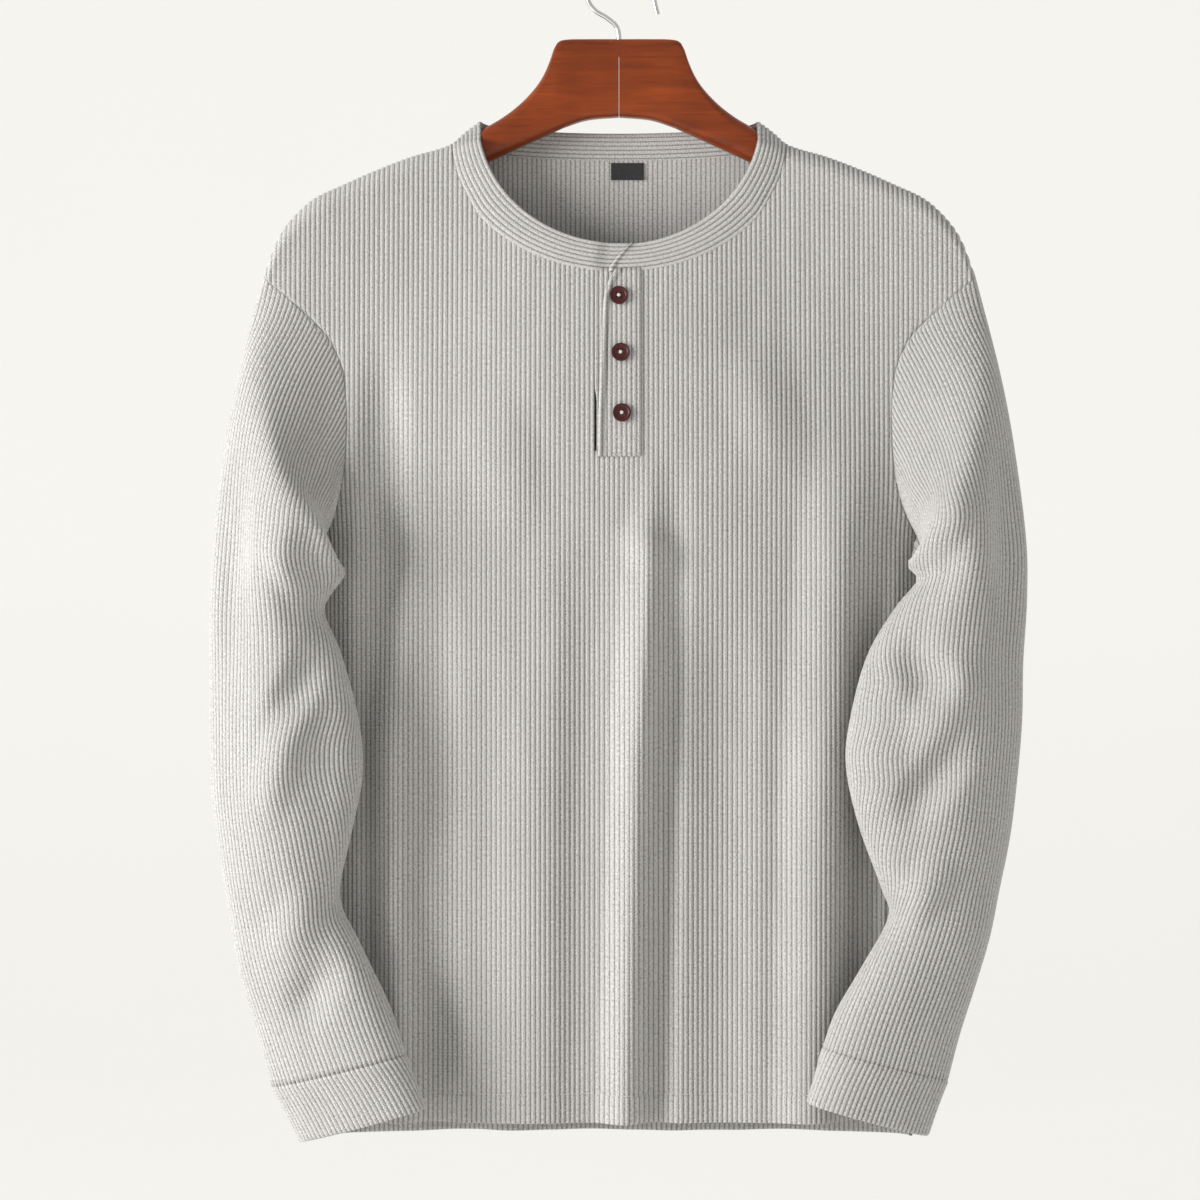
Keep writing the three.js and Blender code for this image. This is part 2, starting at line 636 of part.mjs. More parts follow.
function cuffGrid(sleeve, hand, end) {
  const last = sleeve.outer[0].length - 1;
  const low = flatRing(end, hand, sleeve.angles);
  const shares = [0, 0.3, 0.65, 1];
  const outer = sleeve.outer.map((line, i) => {
    const along = minus(low[i], line[last]);
    const seam = add(line[last], times(unit(along), SEAM_GAP));
    return shares.map((t) => add(times(seam, 1 - t), times(low[i], t)));
  });
  const normals = gridNormals(outer, hand, true);
  flattenEnd(outer, normals, 0);
  flattenEnd(outer, normals, shares.length - 1);
  return { outer, inner: shifted(outer, normals, -CLOTH) };
}

// Neckband, from its free end at the front, round the back, to its end under the first
function bandStation(panel, column, side, back = 0) {
  const i = panel.columns.indexOf(column);
  const last = panel.rows.length - 1;
  const outer = i < 0 ? bodyPoint(column, panel.topRow, panel.topRow, side) : panel.outer[i][last];
  const nearest = i < 0 ? panel.columns.indexOf(SLIT_RIGHT) : i;
  return { edge: add(outer, [0, back, 0]), normal: panel.normals[nearest][last], side };
}

function bandShoulder(front, back, hand) {
  const a = bandStation(front, hand * NECK_HALF, -1);
  const b = bandStation(back, hand * NECK_HALF, 1);
  return { edge: mid(a.edge, b.edge), normal: unit(add(a.normal, b.normal)), side: 0 };
}

function bandTop(low, side) {
  const x = BAND_HALF * Math.max(-1, Math.min(1, low[0] / NECK_HALF));
  const cosine = side === 0 ? 0 : Math.sqrt(Math.max(0, 1 - (x / BAND_HALF) ** 2));
  const lean = side < 0 ? BAND_LEAN * cosine ** 2 - BESIDE_FORWARD * (1 - cosine ** 2) : 0;
  return [x, low[1] + lean, BAND_TOP_Z - (side < 0 ? BAND_FRONT_DROP : BAND_BACK_DROP) * cosine];
}

function bandGrid(front, back) {
  const frontSide = FRONT_NECK_COLUMNS.slice(0, -1);
  const backSide = BACK_NECK_COLUMNS.slice(0, -1);
  const stations = [
    bandStation(front, 2, -1),
    bandStation(front, SLIT_RIGHT, -1),
    ...frontSide.map((c) => bandStation(front, c, -1)),
    bandShoulder(front, back, 1),
    ...[...backSide].reverse().map((c) => bandStation(back, c, 1)),
    ...backSide.map((c) => bandStation(back, -c, 1)),
    bandShoulder(front, back, -1),
    ...[...frontSide].reverse().map((c) => bandStation(front, -c, -1)),
    bandStation(front, SLIT_LEFT, -1, BAND_UNDER * 0.25),
    bandStation(front, -5, -1, BAND_UNDER),
    bandStation(front, 7, -1, BAND_UNDER),
  ];
  const lows = stations.map((s, k) => {
    const ahead = stations[Math.min(stations.length - 1, k + 1)].edge;
    const behind = stations[Math.max(0, k - 1)].edge;
    const beside = Math.abs(s.edge[0]) > BESIDE_NECK;
    const away = beside
      ? times([-0.8 * Math.sign(s.edge[0]), 0, 0.6], BESIDE_GAP)
      : times(unit(cross(s.normal, minus(ahead, behind))), 1.4 * SEAM_GAP);
    return add(s.edge, away);
  });
  const shares = [0, 0.5, 1];
  const outer = stations.map((s, k) => {
    const high = bandTop(lows[k], s.side);
    return shares.map((t) => add(times(lows[k], 1 - t), times(high, t)));
  });
  const inner = shifted(outer, gridNormals(outer, 1), -CLOTH);
  stations.forEach((s, i) => {
    inner[i][0] = add(lows[i], times(s.normal, -CLOTH));
  });
  return { outer, inner };
}

// A strip laid on the front: left and right edge by height, moved out along the cloth
function layStrip(name, leftAt, rightAt, bottomZ, topZOf, lift, thick, material) {
  const columns = [0, 0.5, 1];
  const rows = [0, 0.12, 0.28, 0.44, 0.6, 0.74, 0.86, 0.94, 1];
  const outer = columns.map((u) =>
    rows.map((v) => {
      const roughZ = bottomZ + (topZOf(0) - bottomZ) * v;
      const x = leftAt(roughZ) + (rightAt(roughZ) - leftAt(roughZ)) * u;
      const z = bottomZ + (topZOf(x) - bottomZ) * v;
      return [x, bodyY(x, z, -1), z];
    })
  );
  const normals = gridNormals(outer, 1);
  const face = shifted(outer, normals, lift);
  const under = shifted(outer, normals, lift - thick);
  return meshOf(name, wallTriangles(face, under), material);
}

function neckSeamZ(x) {
  return NECK_Z - FRONT_NECK_DROP * Math.sqrt(1 - (x / NECK_HALF) ** 2);
}

function labelMesh() {
  const columns = [-5.6, 6, 17.4];
  const rows = [-156.4, -150, -144.6];
  const outer = columns.map((x) => rows.map((z) => [x, bodyY(x, z, 1), z]));
  const normals = gridNormals(outer, -1);
  const lift = CLOTH + SEAM_GAP;
  const triangles = wallTriangles(shifted(outer, normals, -lift), shifted(outer, normals, -lift - 0.8));
  return meshOf("neck_label", triangles, MATERIALS.label);
}

// Solids that are cut
function toManifold(geometry) {
  const merged = new Map();
  const points = [];
  const corners = [];
  const position = geometry.getAttribute("position");
  for (let k = 0; k < position.count; k += 1) {
    const point = [position.getX(k), position.getY(k), position.getZ(k)];
    const key = point.map((value) => Math.round(value * 1e4)).join(",");
    if (!merged.has(key)) {
      merged.set(key, points.length / 3);
      points.push(...point);
    }
    corners.push(merged.get(key));
  }
  return new Manifold(
    new ManifoldMesh({
      numProp: 3,
      vertProperties: new Float32Array(points),
      triVerts: new Uint32Array(corners),
    })
  );
}

function fromManifold(name, solid, material) {
  const { vertProperties, triVerts, numProp } = solid.getMesh();
  const triangles = [];
  const point = (k) => [0, 1, 2].map((axis) => vertProperties[triVerts[k] * numProp + axis]);
  for (let k = 0; k < triVerts.length; k += 3) triangles.push([point(k), point(k + 1), point(k + 2)]);
  return meshOf(name, triangles, material);
}

function hangerSection(station, hand) {
  const points = [];
  const centres = [
    [station.half - station.corner, station.top - station.corner, 0],
    [-(station.half - station.corner), station.top - station.corner, 1],
    [-(station.half - station.corner), station.bottom + station.corner, 2],
    [station.half - station.corner, station.bottom + station.corner, 3],
  ];
  for (const [y, z, quarter] of centres) {
    for (let k = 0; k <= CORNER_STEPS; k += 1) {
      const angle = (Math.PI / 2) * (quarter + k / CORNER_STEPS);
      const out = station.corner;
      const along = y + out * Math.cos(angle) + ridgeY(station.x);
      points.push([hand * station.x, along, z + out * Math.sin(angle)]);
    }
  }
  return points;
}

function loopSolid(loops) {
  const triangles = [];
  const count = loops[0].length;
  for (let s = 0; s < loops.length - 1; s += 1) {
    for (let k = 0; k < count; k += 1) {
      const n = (k + 1) % count;
      triangles.push([loops[s][k], loops[s + 1][k], loops[s + 1][n]]);
      triangles.push([loops[s][k], loops[s + 1][n], loops[s][n]]);
    }
  }
  const first = loops[0];
  const last = loops[loops.length - 1];
  for (let k = 1; k < count - 1; k += 1) {
    triangles.push([first[0], first[k], first[k + 1]]);
    triangles.push([last[0], last[k + 1], last[k]]);
  }
  return triangles.filter(([a, b, c]) => Math.hypot(...cross(minus(b, a), minus(c, a))) > 1e-6);
}

function hangerHalf(name, hand) {
  const loops = HANGER_STATIONS.map((station) => hangerSection(station, hand));
  const body = toManifold(meshOf(name, loopSolid(loops), MATERIALS.wood).geometry);
  const depth = CROWN_Z - BORE_BOTTOM_Z + 4;
  const bore = Manifold.cylinder(depth, BORE_RADIUS, BORE_RADIUS, 16).translate([0, 0, BORE_BOTTOM_Z]);
  return fromManifold(name, body.subtract(bore), MATERIALS.wood);
}

function hookMesh() {
  const centreZ = -(HOOK_RADIUS - WIRE_RADIUS);
  const onLoop = (degrees) => {
    const angle = THREE.MathUtils.degToRad(degrees);
    return new THREE.Vector3(HOOK_RADIUS * Math.cos(angle), 0, centreZ + HOOK_RADIUS * Math.sin(angle));
  };
  const path = [new THREE.Vector3(0, 0, STEM_BOTTOM_Z), new THREE.Vector3(0, 0, -58)];
  path.push(new THREE.Vector3(-1.6, 0, -51));
  for (const degrees of [250, 225, 200, 180, 160, 140, 120, 100, 90, 80, 60, 40, 20, 0]) {
    path.push(onLoop(degrees));
  }
  path.push(new THREE.Vector3(HOOK_RADIUS + 0.6, 0, centreZ - 9));
  path.push(new THREE.Vector3(HOOK_RADIUS + 3, 0, centreZ - 20));
  const loops = [];
  const sides = 10;
  path.forEach((point, k) => {
    const before = path[Math.max(0, k - 1)];
    const after = path[Math.min(path.length - 1, k + 1)];
    const along = after.clone().sub(before).normalize();
    const across = [-along.z, 0, along.x];
    const ring = [];
    for (let s = 0; s < sides; s += 1) {
      const angle = (2 * Math.PI * s) / sides;
      const wide = times(across, WIRE_RADIUS * Math.cos(angle));
      ring.push(add([point.x, WIRE_RADIUS * Math.sin(angle), point.z], wide));
    }
    loops.push(ring);
  });
  return meshOf("hanger_hook", loopSolid(loops), MATERIALS.metal);
}

function buttonMesh({ name, x, z }) {
  const profile = [
    [0, -BUTTON_THICK / 2],
    [4.9, -BUTTON_THICK / 2],
    [BUTTON_RADIUS, -0.2],
    [BUTTON_RADIUS, 0.5],
    [5.7, BUTTON_THICK / 2],
    [4.9, BUTTON_THICK / 2],
    [4.2, 0.6],
    [0, 0.6],
  ];
  let solid = Manifold.revolve([profile], 24);
  for (const [a, b] of [[1, 1], [1, -1], [-1, 1], [-1, -1]]) {
    const hole = Manifold.cylinder(6, BUTTON_HOLE_RADIUS, BUTTON_HOLE_RADIUS, 8, true);
    solid = solid.subtract(hole.translate([a * BUTTON_HOLE_OUT, b * BUTTON_HOLE_OUT, 0]));
  }
  const face = new THREE.Vector3(...bodyNormal(x, z, -1));
  const turn = new THREE.Quaternion().setFromUnitVectors(new THREE.Vector3(0, 0, 1), face);
  const mesh = fromManifold(name, solid, MATERIALS.button);
  const out = CLOTH + 3 * SEAM_GAP + BUTTON_THICK / 2;
  mesh.geometry.applyQuaternion(turn);
  mesh.geometry.translate(x + face.x * out, bodyY(x, z, -1) + face.y * out, z + face.z * out);
  return mesh;
}

const front = panelGrid(FRONT_COLUMNS, -1);
const back = panelGrid(BACK_COLUMNS, 1);
const leftSleeve = sleeveGrid(front, back, -1, LEFT_RINGS, LEFT_SLEEVE_FOLDS, LEFT_BAG);
const rightSleeve = sleeveGrid(front, back, 1, RIGHT_RINGS, RIGHT_SLEEVE_FOLDS, RIGHT_BAG);
const leftCuff = cuffGrid(leftSleeve, -1, LEFT_CUFF_END);
const rightCuff = cuffGrid(rightSleeve, 1, RIGHT_CUFF_END);
const band = bandGrid(front, back);

const tubeMesh = (name, grid) => meshOf(name, wallTriangles(grid.outer, grid.inner, true), MATERIALS.knit);

const shirt = new THREE.Group();
shirt.name = "henley_shirt";
shirt.add(
  frontPanel(front),
  meshOf("back", wallTriangles(back.outer, back.inner), MATERIALS.knit),
  tubeMesh("sleeve_left", leftSleeve),
  tubeMesh("sleeve_right", rightSleeve),
  tubeMesh("cuff_left", leftCuff),
  tubeMesh("cuff_right", rightCuff),
  meshOf("neckband", wallTriangles(band.outer, band.inner), MATERIALS.knit),
  layStrip(
    "placket_top",
    (z) => follow(FREE_EDGE, z),
    () => PLACKET_RIGHT,
    PLACKET_BOTTOM_Z,
    (x) => neckSeamZ(x) - SEAM_GAP,
    SEAM_GAP + CLOTH,
    CLOTH,
    MATERIALS.knit
  ),
  layStrip(
    "placket_under",
    () => SLIT_LEFT - 3,
    () => SLIT_RIGHT + 2,
    PLACKET_BOTTOM_Z,
    (x) => neckSeamZ(x) - SEAM_GAP,
    -CLOTH - SEAM_GAP,
    CLOTH,
    MATERIALS.knit
  ),
  ...BUTTONS.map(buttonMesh),
  labelMesh(),
  hangerHalf("hanger_left", -1),
  hangerHalf("hanger_right", 1),
  hookMesh()
);

export default shirt;
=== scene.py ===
"""Looks of a rib-knit henley shirt on a wooden hanger: fine cloth shells, wood, wire and buttons."""

import math
from collections import namedtuple

import bpy
import numpy as np
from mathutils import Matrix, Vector


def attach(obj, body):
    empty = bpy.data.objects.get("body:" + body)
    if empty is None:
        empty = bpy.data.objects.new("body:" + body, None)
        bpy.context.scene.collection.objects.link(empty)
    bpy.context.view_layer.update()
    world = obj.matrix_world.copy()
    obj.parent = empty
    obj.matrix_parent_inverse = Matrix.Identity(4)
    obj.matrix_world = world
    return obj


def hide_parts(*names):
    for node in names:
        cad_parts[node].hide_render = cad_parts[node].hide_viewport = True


bl_info = {
    "name": "Henley shirt",
    "version": (1, 0, 0),
    "blender": (4, 5, 0),
    "location": "3D View > Sidebar > Henley",
    "description": "Builds the rib-knit shirt, its buttons and its wooden hanger",
    "category": "Object",
}

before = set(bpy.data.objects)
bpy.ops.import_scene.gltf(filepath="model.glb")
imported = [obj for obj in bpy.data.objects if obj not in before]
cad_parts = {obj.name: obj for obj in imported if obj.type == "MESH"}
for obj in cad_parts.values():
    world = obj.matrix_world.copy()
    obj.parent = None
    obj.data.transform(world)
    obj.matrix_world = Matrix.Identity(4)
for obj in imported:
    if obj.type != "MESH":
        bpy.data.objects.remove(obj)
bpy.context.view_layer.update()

# Sizes below are in millimetres, as the tailor would write them, and MM turns them to metres.
MM = 0.001

# Cloth and seams
CLOTH = 1.6
SEAM_GAP = 0.3
HALF_GAP = 0.15
COLUMNS_A_RIB = 3
VALLEY_DEPTH = 0.5

# Heights of the shirt
FRONT_HEM_Z = -813.0
BACK_HEM_DROP = 14.0
UNDERARM_Z = -415.0
YOKE_Z = -345.0
TIP_Z = -226.0
HEM_FOLD = 20.0

# Widths and depths of the body
TIP_X = 247.0
YOKE_HALF = 330.0
YOKE_BLEND = 115.0
SECTION_POWER = 2.6
SLEEVE_POWER = 2.3
FRONT_DEPTH = 44.0
BACK_DEPTH = 36.0
ROLL = 14.0
DEPTH_RUN = 260.0
ARM_FORWARD = 16.0
ARM_REACH = 222.0
FORWARD_HELD = 36.0
FORWARD_FADE = 150.0

# Neck
NECK_HALF = 116.0
NECK_Z = -133.0
FRONT_NECK_DROP = 90.0
BACK_NECK_DROP = 10.0
BAND_HALF = 98.0
BAND_TOP_Z = -116.0
BAND_FRONT_DROP = 88.0
BAND_BACK_DROP = 8.0
BAND_LEAN = 2.5
BAND_UNDER = 2.3
BAND_RIBS = 7
BAND_FREE_X = -7.2
BAND_FREE_LEAN = 14.5
RIM_WIDE = 3.8
RIM_HIGH = 2.1
CREASE_DEEP = 0.7
BESIDE_NECK = 105.0
BESIDE_GAP = 2.1
BESIDE_FORWARD = 3.4

# Button opening
SLIT_LEFT_RIB = -5
SLIT_RIGHT_RIB = 3
PLACKET_RIGHT = 15.4
PLACKET_BOTTOM_Z = -353.0
PLACKET_BOX_Z = -340.0
UNDER_LEFT = -17.1
SLIT_OPENS = 1.5
UNDER_RIGHT = 13.0
BUTTON_THICK = 2.6

# Hanger and hook
WIRE_RADIUS = 1.8
HOOK_RADIUS = 24.0
STEM_BOTTOM_Z = -72.0

# Rows, columns and loops of the cloth
ROW_STEP = 5.4
RISING_ROWS = 46
PANEL_REACH = 250.0
TURNS = 240
HALVES = (np.arange(TURNS // 2 + 1), np.arange(TURNS, TURNS // 2 - 1, -1))
JOINS_A_MM = 1e3
TOUCHING = 1e-6

# Hem: how far the turned cloth stands out, and how deep its stitching and its edge sink
HEM_ROWS = (0, 0.7, 2.5, 6, 10, 14, 17, 18.8, HEM_FOLD, 21.2, 23.5, 27)
HEM_SWELL = 0.5
HEM_NOTCH = 0.45
HEM_EDGE = 0.5

# Sleeves and cuffs
ELBOW_DROP = 500.0
ELBOW_RUN = 130.0
SLEEVE_STEP = 5.0
SEAM_ROWS = 4
SEAM_HELD = 3
SLEEVE_CLEAR = 2.0
SEAM_TUCK = 0.1
CUFF_TUCK = 0.2
CUFF_STANDS = 0.7
CUFF_WAIST = 0.012
CUFF_ROWS = (0.004, 0.02, 0.05, 0.1, 0.2, 0.32, 0.45, 0.58, 0.7, 0.82, 0.9, 0.95, 0.98, 0.994, 1.0)

# Length over which a long fold swells and fades
LONGEST_FADE = 120.0

# Details of the neckband and of the placket
BAND_STEPS = 96
BAND_TUCKED_X = 8.0
BAND_BELOW = 0.11
BAND_PITCH = 3.4
BAND_EDGE_IN = 0.4
BAND_PUFF = 0.9
FREE_LEAN_RUN = 26
RIM_SMOOTHS = 0.75
PLACKET_TOP_Z = -222.0
PLACKET_STITCHED = (PLACKET_BOX_Z, PLACKET_BOTTOM_Z + 1.5)
SLIT_OPENS_Z = -304.0

# Neck tab
TAB_MIDDLE = 5.9
TAB_HALF = 11.5
TAB_THICK = 0.9
TAB_CURL = 0.7

# Details of the buttons
BUTTON_RADIUS = 6.3
BUTTON_FOOT = CLOTH + 3 * SEAM_GAP
HOLE_RADIUS = 0.8
HOLE_FROM_MIDDLE = 1.35

# Paper, light and camera, in metres
FLOOR_Z = -1.25
WALL_Y = 4.6
PAPER_BEND = 0.9
PAPER_HALF = 14.0
PAPER_FRONT_Y = -12.0
PAPER_TOP_Z = 9.0
LIGHT_PLACE = (-2.4, -1.3, 0.0)
LIGHT_AIM = (0, 0, -0.5)
LIGHT_SIZE = 1.5
LIGHT_POWER = 84
ROOM_LIGHT = 0.57
FRAME_HIGH = 0.84
CAMERA_X = -0.0133
CAMERA_Z = -0.452
SENSOR = 36.0

# Line of the shoulders, from the middle of the hanger out: x and height
SHOULDER_LINE = [
    (0, -100),
    (50, -100),
    (70, -106),
    (92, -118.5),
    (104, -125),
    (116, -133),
    (126, -137),
    (145, -142.6),
    (170, -152.5),
    (193, -163),
    (213, -173),
    (228, -187),
    (238, -202),
    (247, -226),
]

# Half width of the body by height
BODY_HALF = [(-830, 205), (-600, 208), (UNDERARM_Z, 212)]

# Edge of the armhole: height and x
ARMHOLE = [
    (UNDERARM_Z, 212),
    (-385, 196),
    (-347, 189),
    (-300, 190),
    (-285, 194),
    (-268, 203),
    (-256, 215),
    (-246, 226),
    (-238, 235),
    (-232, 243),
    (TIP_Z, TIP_X),
]

# Free edge of the top placket: height and x
FREE_EDGE = [
    (PLACKET_BOTTOM_Z, -15.4),
    (-327, -14.7),
    (-294, -13.3),
    (-260, -12),
    (-241, -10.4),
    (-230, -7),
    (-222, -2.5),
]

# Soft folds: x and height of the upper end, x and height of the lower end, half width, height out
FRONT_FOLDS = [
    (32, -345, 12, -600, 26, 10),
    (16, -440, 2, -830, 20, 12),
    (38, -335, 24, -830, 17, -9),
    (-18, -370, -22, -830, 28, -4),
    (160, -310, 139, -640, 36, 10),
    (143, -490, 133, -830, 33, 12),
    (176, -390, 160, -830, 20, -11),
    (-172, -470, -169, -800, 13, -8),
    (72, -420, 70, -830, 30, -4),
    (-163, -450, -153, -830, 20, 12),
    (-130, -410, -128, -830, 24, -8),
    (-161, -250, -168, -580, 22, -11),
    (-60, -470, -66, -830, 34, 4),
    (2, -396, 36, -436, 18, 6),
    (-96, -300, -60, -420, 30, 3),
    (84, -262, 120, -380, 30, 4),
]
BACK_FOLDS = [
    (-120, -360, -112, -850, 34, 8),
    (-70, -420, -74, -850, 24, -5),
    (-14, -300, -20, -850, 30, 6),
    (42, -400, 38, -850, 24, -5),
    (104, -330, 118, -850, 36, 8),
]

# Sleeve rings from the armhole down: outer end x, z, y, inner end x, z, y, and half the depth.
# The x values are distances out from the middle.
LEFT_RINGS = [
    (252, -245, -20, 213.6, -418, -10, 31),
    (258, -268, -21, 207, -420, -37, 32),
    (265, -300, -23, 197, -423, -54, 31),
    (272, -340, -27, 189, -428, -61, 29),
    (277, -385, -31, 190, -436, -61, 27),
    (280, -425, -35, 199, -447, -59, 26),
    (281.5, -462, -38, 204, -461, -58, 26),
    (281.5, -500, -42, 192, -489, -62, 27),
    (281, -545, -45, 179.5, -535, -66, 28),
    (280, -585, -46, 177, -573, -68, 28),
    (275, -622, -46, 185, -613, -68, 27),
    (268, -662, -46, 193, -655, -68, 26),
    (260, -708, -47, 180, -685, -71, 26),
    (249, -745, -48, 158, -730, -76, 25),
    (238, -786, -50, 147, -762, -78, 22),
]
RIGHT_RINGS = [
    (252, -245, -20, 213.6, -418, -10, 31),
    (258, -268, -21, 208, -420, -35, 32),
    (265, -298, -23, 201, -422, -50, 31),
    (271, -335, -26, 198, -426, -57, 29),
    (276.5, -378, -30, 201, -431, -57, 27),
    (280, -418, -34, 207, -438, -56, 26),
    (280, -456, -38, 191, -457, -58, 27),
    (277.5, -495, -42, 171, -490, -62, 28),
    (276.5, -535, -45, 159, -533, -66, 29),
    (273, -575, -46, 156, -566, -68, 29),
    (268, -614, -46, 165, -607, -68, 28),
    (260, -652, -46, 181, -650, -66, 26),
    (253, -684, -47, 186, -670, -66, 26),
    (243, -718, -48, 167, -704, -70, 25),
    (233, -750, -49, 149, -734, -72, 24),
    (225, -781, -50, 140, -758, -74, 22),
]
LEFT_CUFF_END = (218.5, -824, -50, 133, -799, -77, 20)
RIGHT_CUFF_END = (211, -820, -50, 129, -796, -73, 20)

# Where the front of each sleeve bags over its armhole seam: x, height, reach, across, forwards
LEFT_BAG = (190, -392, 52, 15, 16)
RIGHT_BAG = (196, -380, 48, 6, 10)

LEFT_SLEEVE_FOLDS = [
    (-234, -280, -238, -700, 42, 9),
    (-262, -320, -264, -550, 16, -6),
    (-230, -320, -244, -480, 26, 9),
    (-198, -466, -244, -400, 18, 8),
    (-198, -474, -240, -550, 18, -8),
    (-206, -500, -254, -620, 20, 7),
    (-184, -690, -230, -745, 20, -8),
    (-194, -640, -246, -710, 22, 7),
]
RIGHT_SLEEVE_FOLDS = [
    (240, -280, 232, -700, 42, 8),
    (266, -300, 264, -550, 16, -6),
    (234, -310, 244, -470, 26, 8),
    (198, -436, 242, -372, 18, 8),
    (180, -464, 236, -540, 22, -7),
    (184, -606, 246, -540, 20, -9),
    (190, -560, 252, -490, 22, 7),
    (176, -680, 232, -626, 20, 8),
]

# Buttons down the placket: x and height
BUTTONS = [("button_1", -0.2, -241.6), ("button_2", 1.0, -281.2), ("button_3", 1.8, -323.0)]

# Hanger half by distance out: x, top edge, bottom edge, half thickness, corner radius
HANGER_STATIONS = [
    (0.15, -60, -114, 9.4, 5),
    (22, -60, -116, 9.4, 5),
    (38, -60.5, -121, 9.4, 5),
    (43, -62.5, -123.2, 9.4, 5),
    (46, -68, -124.6, 9.4, 5.2),
    (49, -77, -126, 9.4, 5.6),
    (54, -87.5, -128.4, 9.4, 6.2),
    (61, -97, -131.6, 9.4, 7),
    (71, -106.8, -136.4, 9.4, 8.4),
    (82, -115, -141.6, 9.4, 9.2),
    (92, -121, -146.4, 9.3, 9.3),
    (104, -129, -153.6, 9.3, 9.3),
    (116, -136.3, -161.6, 10.5, 10.5),
    (131, -141.6, -168, 10.9, 10.9),
    (153, -148.9, -175.6, 10.9, 10.9),
    (175, -157.8, -184.6, 10.9, 10.9),
    (195, -167.6, -194, 10.9, 10.9),
    (209, -175.6, -201, 10.6, 10.6),
    (216, -182.6, -203, 9.2, 9.2),
    (220, -189, -201, 5.6, 5.6),
]


# Curves and folds


def follow(table, place):
    """Smooth curve through rows of (place, value), places rising."""
    places, values = np.array(table, float).T
    place = np.clip(np.asarray(place, float), places[0], places[-1])
    k = np.clip(np.searchsorted(places, place, side="right") - 1, 0, len(places) - 2)
    slopes = np.diff(values) / np.diff(places)
    inside = (values[2:] - values[:-2]) / (places[2:] - places[:-2])
    tangents = np.concatenate([slopes[:1], inside, slopes[-1:]])
    span = places[k + 1] - places[k]
    t = (place - places[k]) / span
    return (
        (2 * t**3 - 3 * t**2 + 1) * values[k]
        + (t**3 - 2 * t**2 + t) * span * tangents[k]
        + (3 * t**2 - 2 * t**3) * values[k + 1]
        + (t**3 - t**2) * span * tangents[k + 1]
    )


def ease(t):
    t = np.clip(t, 0, 1)
    return t * t * (3 - 2 * t)


def unit(vectors):
    return vectors / np.maximum(np.linalg.norm(vectors, axis=-1, keepdims=True), 1e-9)


def run_along(points):
    """Distance of each point from the first, along the line they make."""
    return np.concatenate([[0], np.cumsum(np.linalg.norm(np.diff(points, axis=0), axis=1))])


def place_on(points, run, place):
    """Points at given distances along a line."""
    return np.stack([np.interp(place, run, points[:, axis]) for axis in range(3)], axis=-1)


def folds_at(folds, x, z):
    """Height of the soft folds at a place. A fold swells from its ends, and runs out at the hem."""
    total = np.zeros(np.broadcast(x, z).shape)
    for x1, z1, x2, z2, wide, high in folds:
        along_x, along_z = x2 - x1, z2 - z1
        share = ((x - x1) * along_x + (z - z1) * along_z) / (along_x**2 + along_z**2)
        t = np.clip(share, 0, 1)
        away = np.hypot(x - x1 - along_x * t, z - z1 - along_z * t) / wide
        length = math.hypot(along_x, along_z)
        fade = min(0.48 * length, LONGEST_FADE)
        swell = ease(t * length / fade)
        if z2 > FRONT_HEM_Z:
            swell = swell * ease((1 - t) * length / fade)
        total += swell * np.where(away < 1, high * (1 - np.minimum(away, 1) ** 2) ** 2, 0)
    return total


# The body, as a depth at each x and height. Side is -1 for the front and 1 for the back.


def shoulder_z(x):
    return follow(SHOULDER_LINE, np.abs(x))


def ridge_y(x):
    """How far forward the hanger's arms bring the shoulders."""
    return -ARM_FORWARD * (x / ARM_REACH) ** 2


def hem_z(side):
    return FRONT_HEM_Z if side < 0 else FRONT_HEM_Z - BACK_HEM_DROP


def full_depth(side):
    return FRONT_DEPTH if side < 0 else BACK_DEPTH


def section_half(z):
    plain = follow(BODY_HALF, z)
    return plain + (YOKE_HALF - plain) * ease((z - UNDERARM_Z) / YOKE_BLEND)


def depth_below(drop, full):
    drop = np.maximum(0, drop)
    near = np.minimum(drop, ROLL)
    return np.sqrt(ROLL**2 - (ROLL - near) ** 2) + (full - ROLL) * ease(drop / DEPTH_RUN)


def body_y(x, z, side):
    x, z = np.asarray(x, float), np.asarray(z, float)
    drop = shoulder_z(x) - z
    ratio = np.minimum(1, np.abs(x) / section_half(z))
    flat = (1 - ratio**SECTION_POWER) ** (1 / SECTION_POWER)
    forward = ridge_y(x) * (1 - ease((drop - FORWARD_HELD) / FORWARD_FADE))
    folds = folds_at(FRONT_FOLDS if side < 0 else BACK_FOLDS, x, z) * np.minimum(1, flat * 2)
    return forward + side * (HALF_GAP + depth_below(drop, full_depth(side)) * flat + folds)


def body_point(x, z, side):
    x, z = np.broadcast_arrays(np.asarray(x, float), np.asarray(z, float))
    return np.stack([x, body_y(x, z, side), z], axis=-1)


def body_normal(x, z, side):
    step = 0.05
    slope_x = (body_y(x + step, z, side) - body_y(x - step, z, side)) / (2 * step)
    slope_z = (body_y(x, z + step, side) - body_y(x, z - step, side)) / (2 * step)
    return unit(np.stack([-slope_x, np.ones_like(slope_x), -slope_z], axis=-1) * side)


def neck_z(x, side):
    drop = FRONT_NECK_DROP if side < 0 else BACK_NECK_DROP
    return NECK_Z - drop * np.sqrt(np.maximum(0, 1 - (x / NECK_HALF) ** 2))


def quarter_round(half_wide, depth, steps=120):
    """Places across and lengths round a quarter of the body's section."""
    angle = np.linspace(0, math.pi / 2, steps + 1)
    xs = half_wide * np.sin(angle) ** (2 / SECTION_POWER)
    ys = depth * np.maximum(0, np.cos(angle)) ** (2 / SECTION_POWER)
    return xs, run_along(np.stack([xs, ys], axis=-1))


# Cloth shells

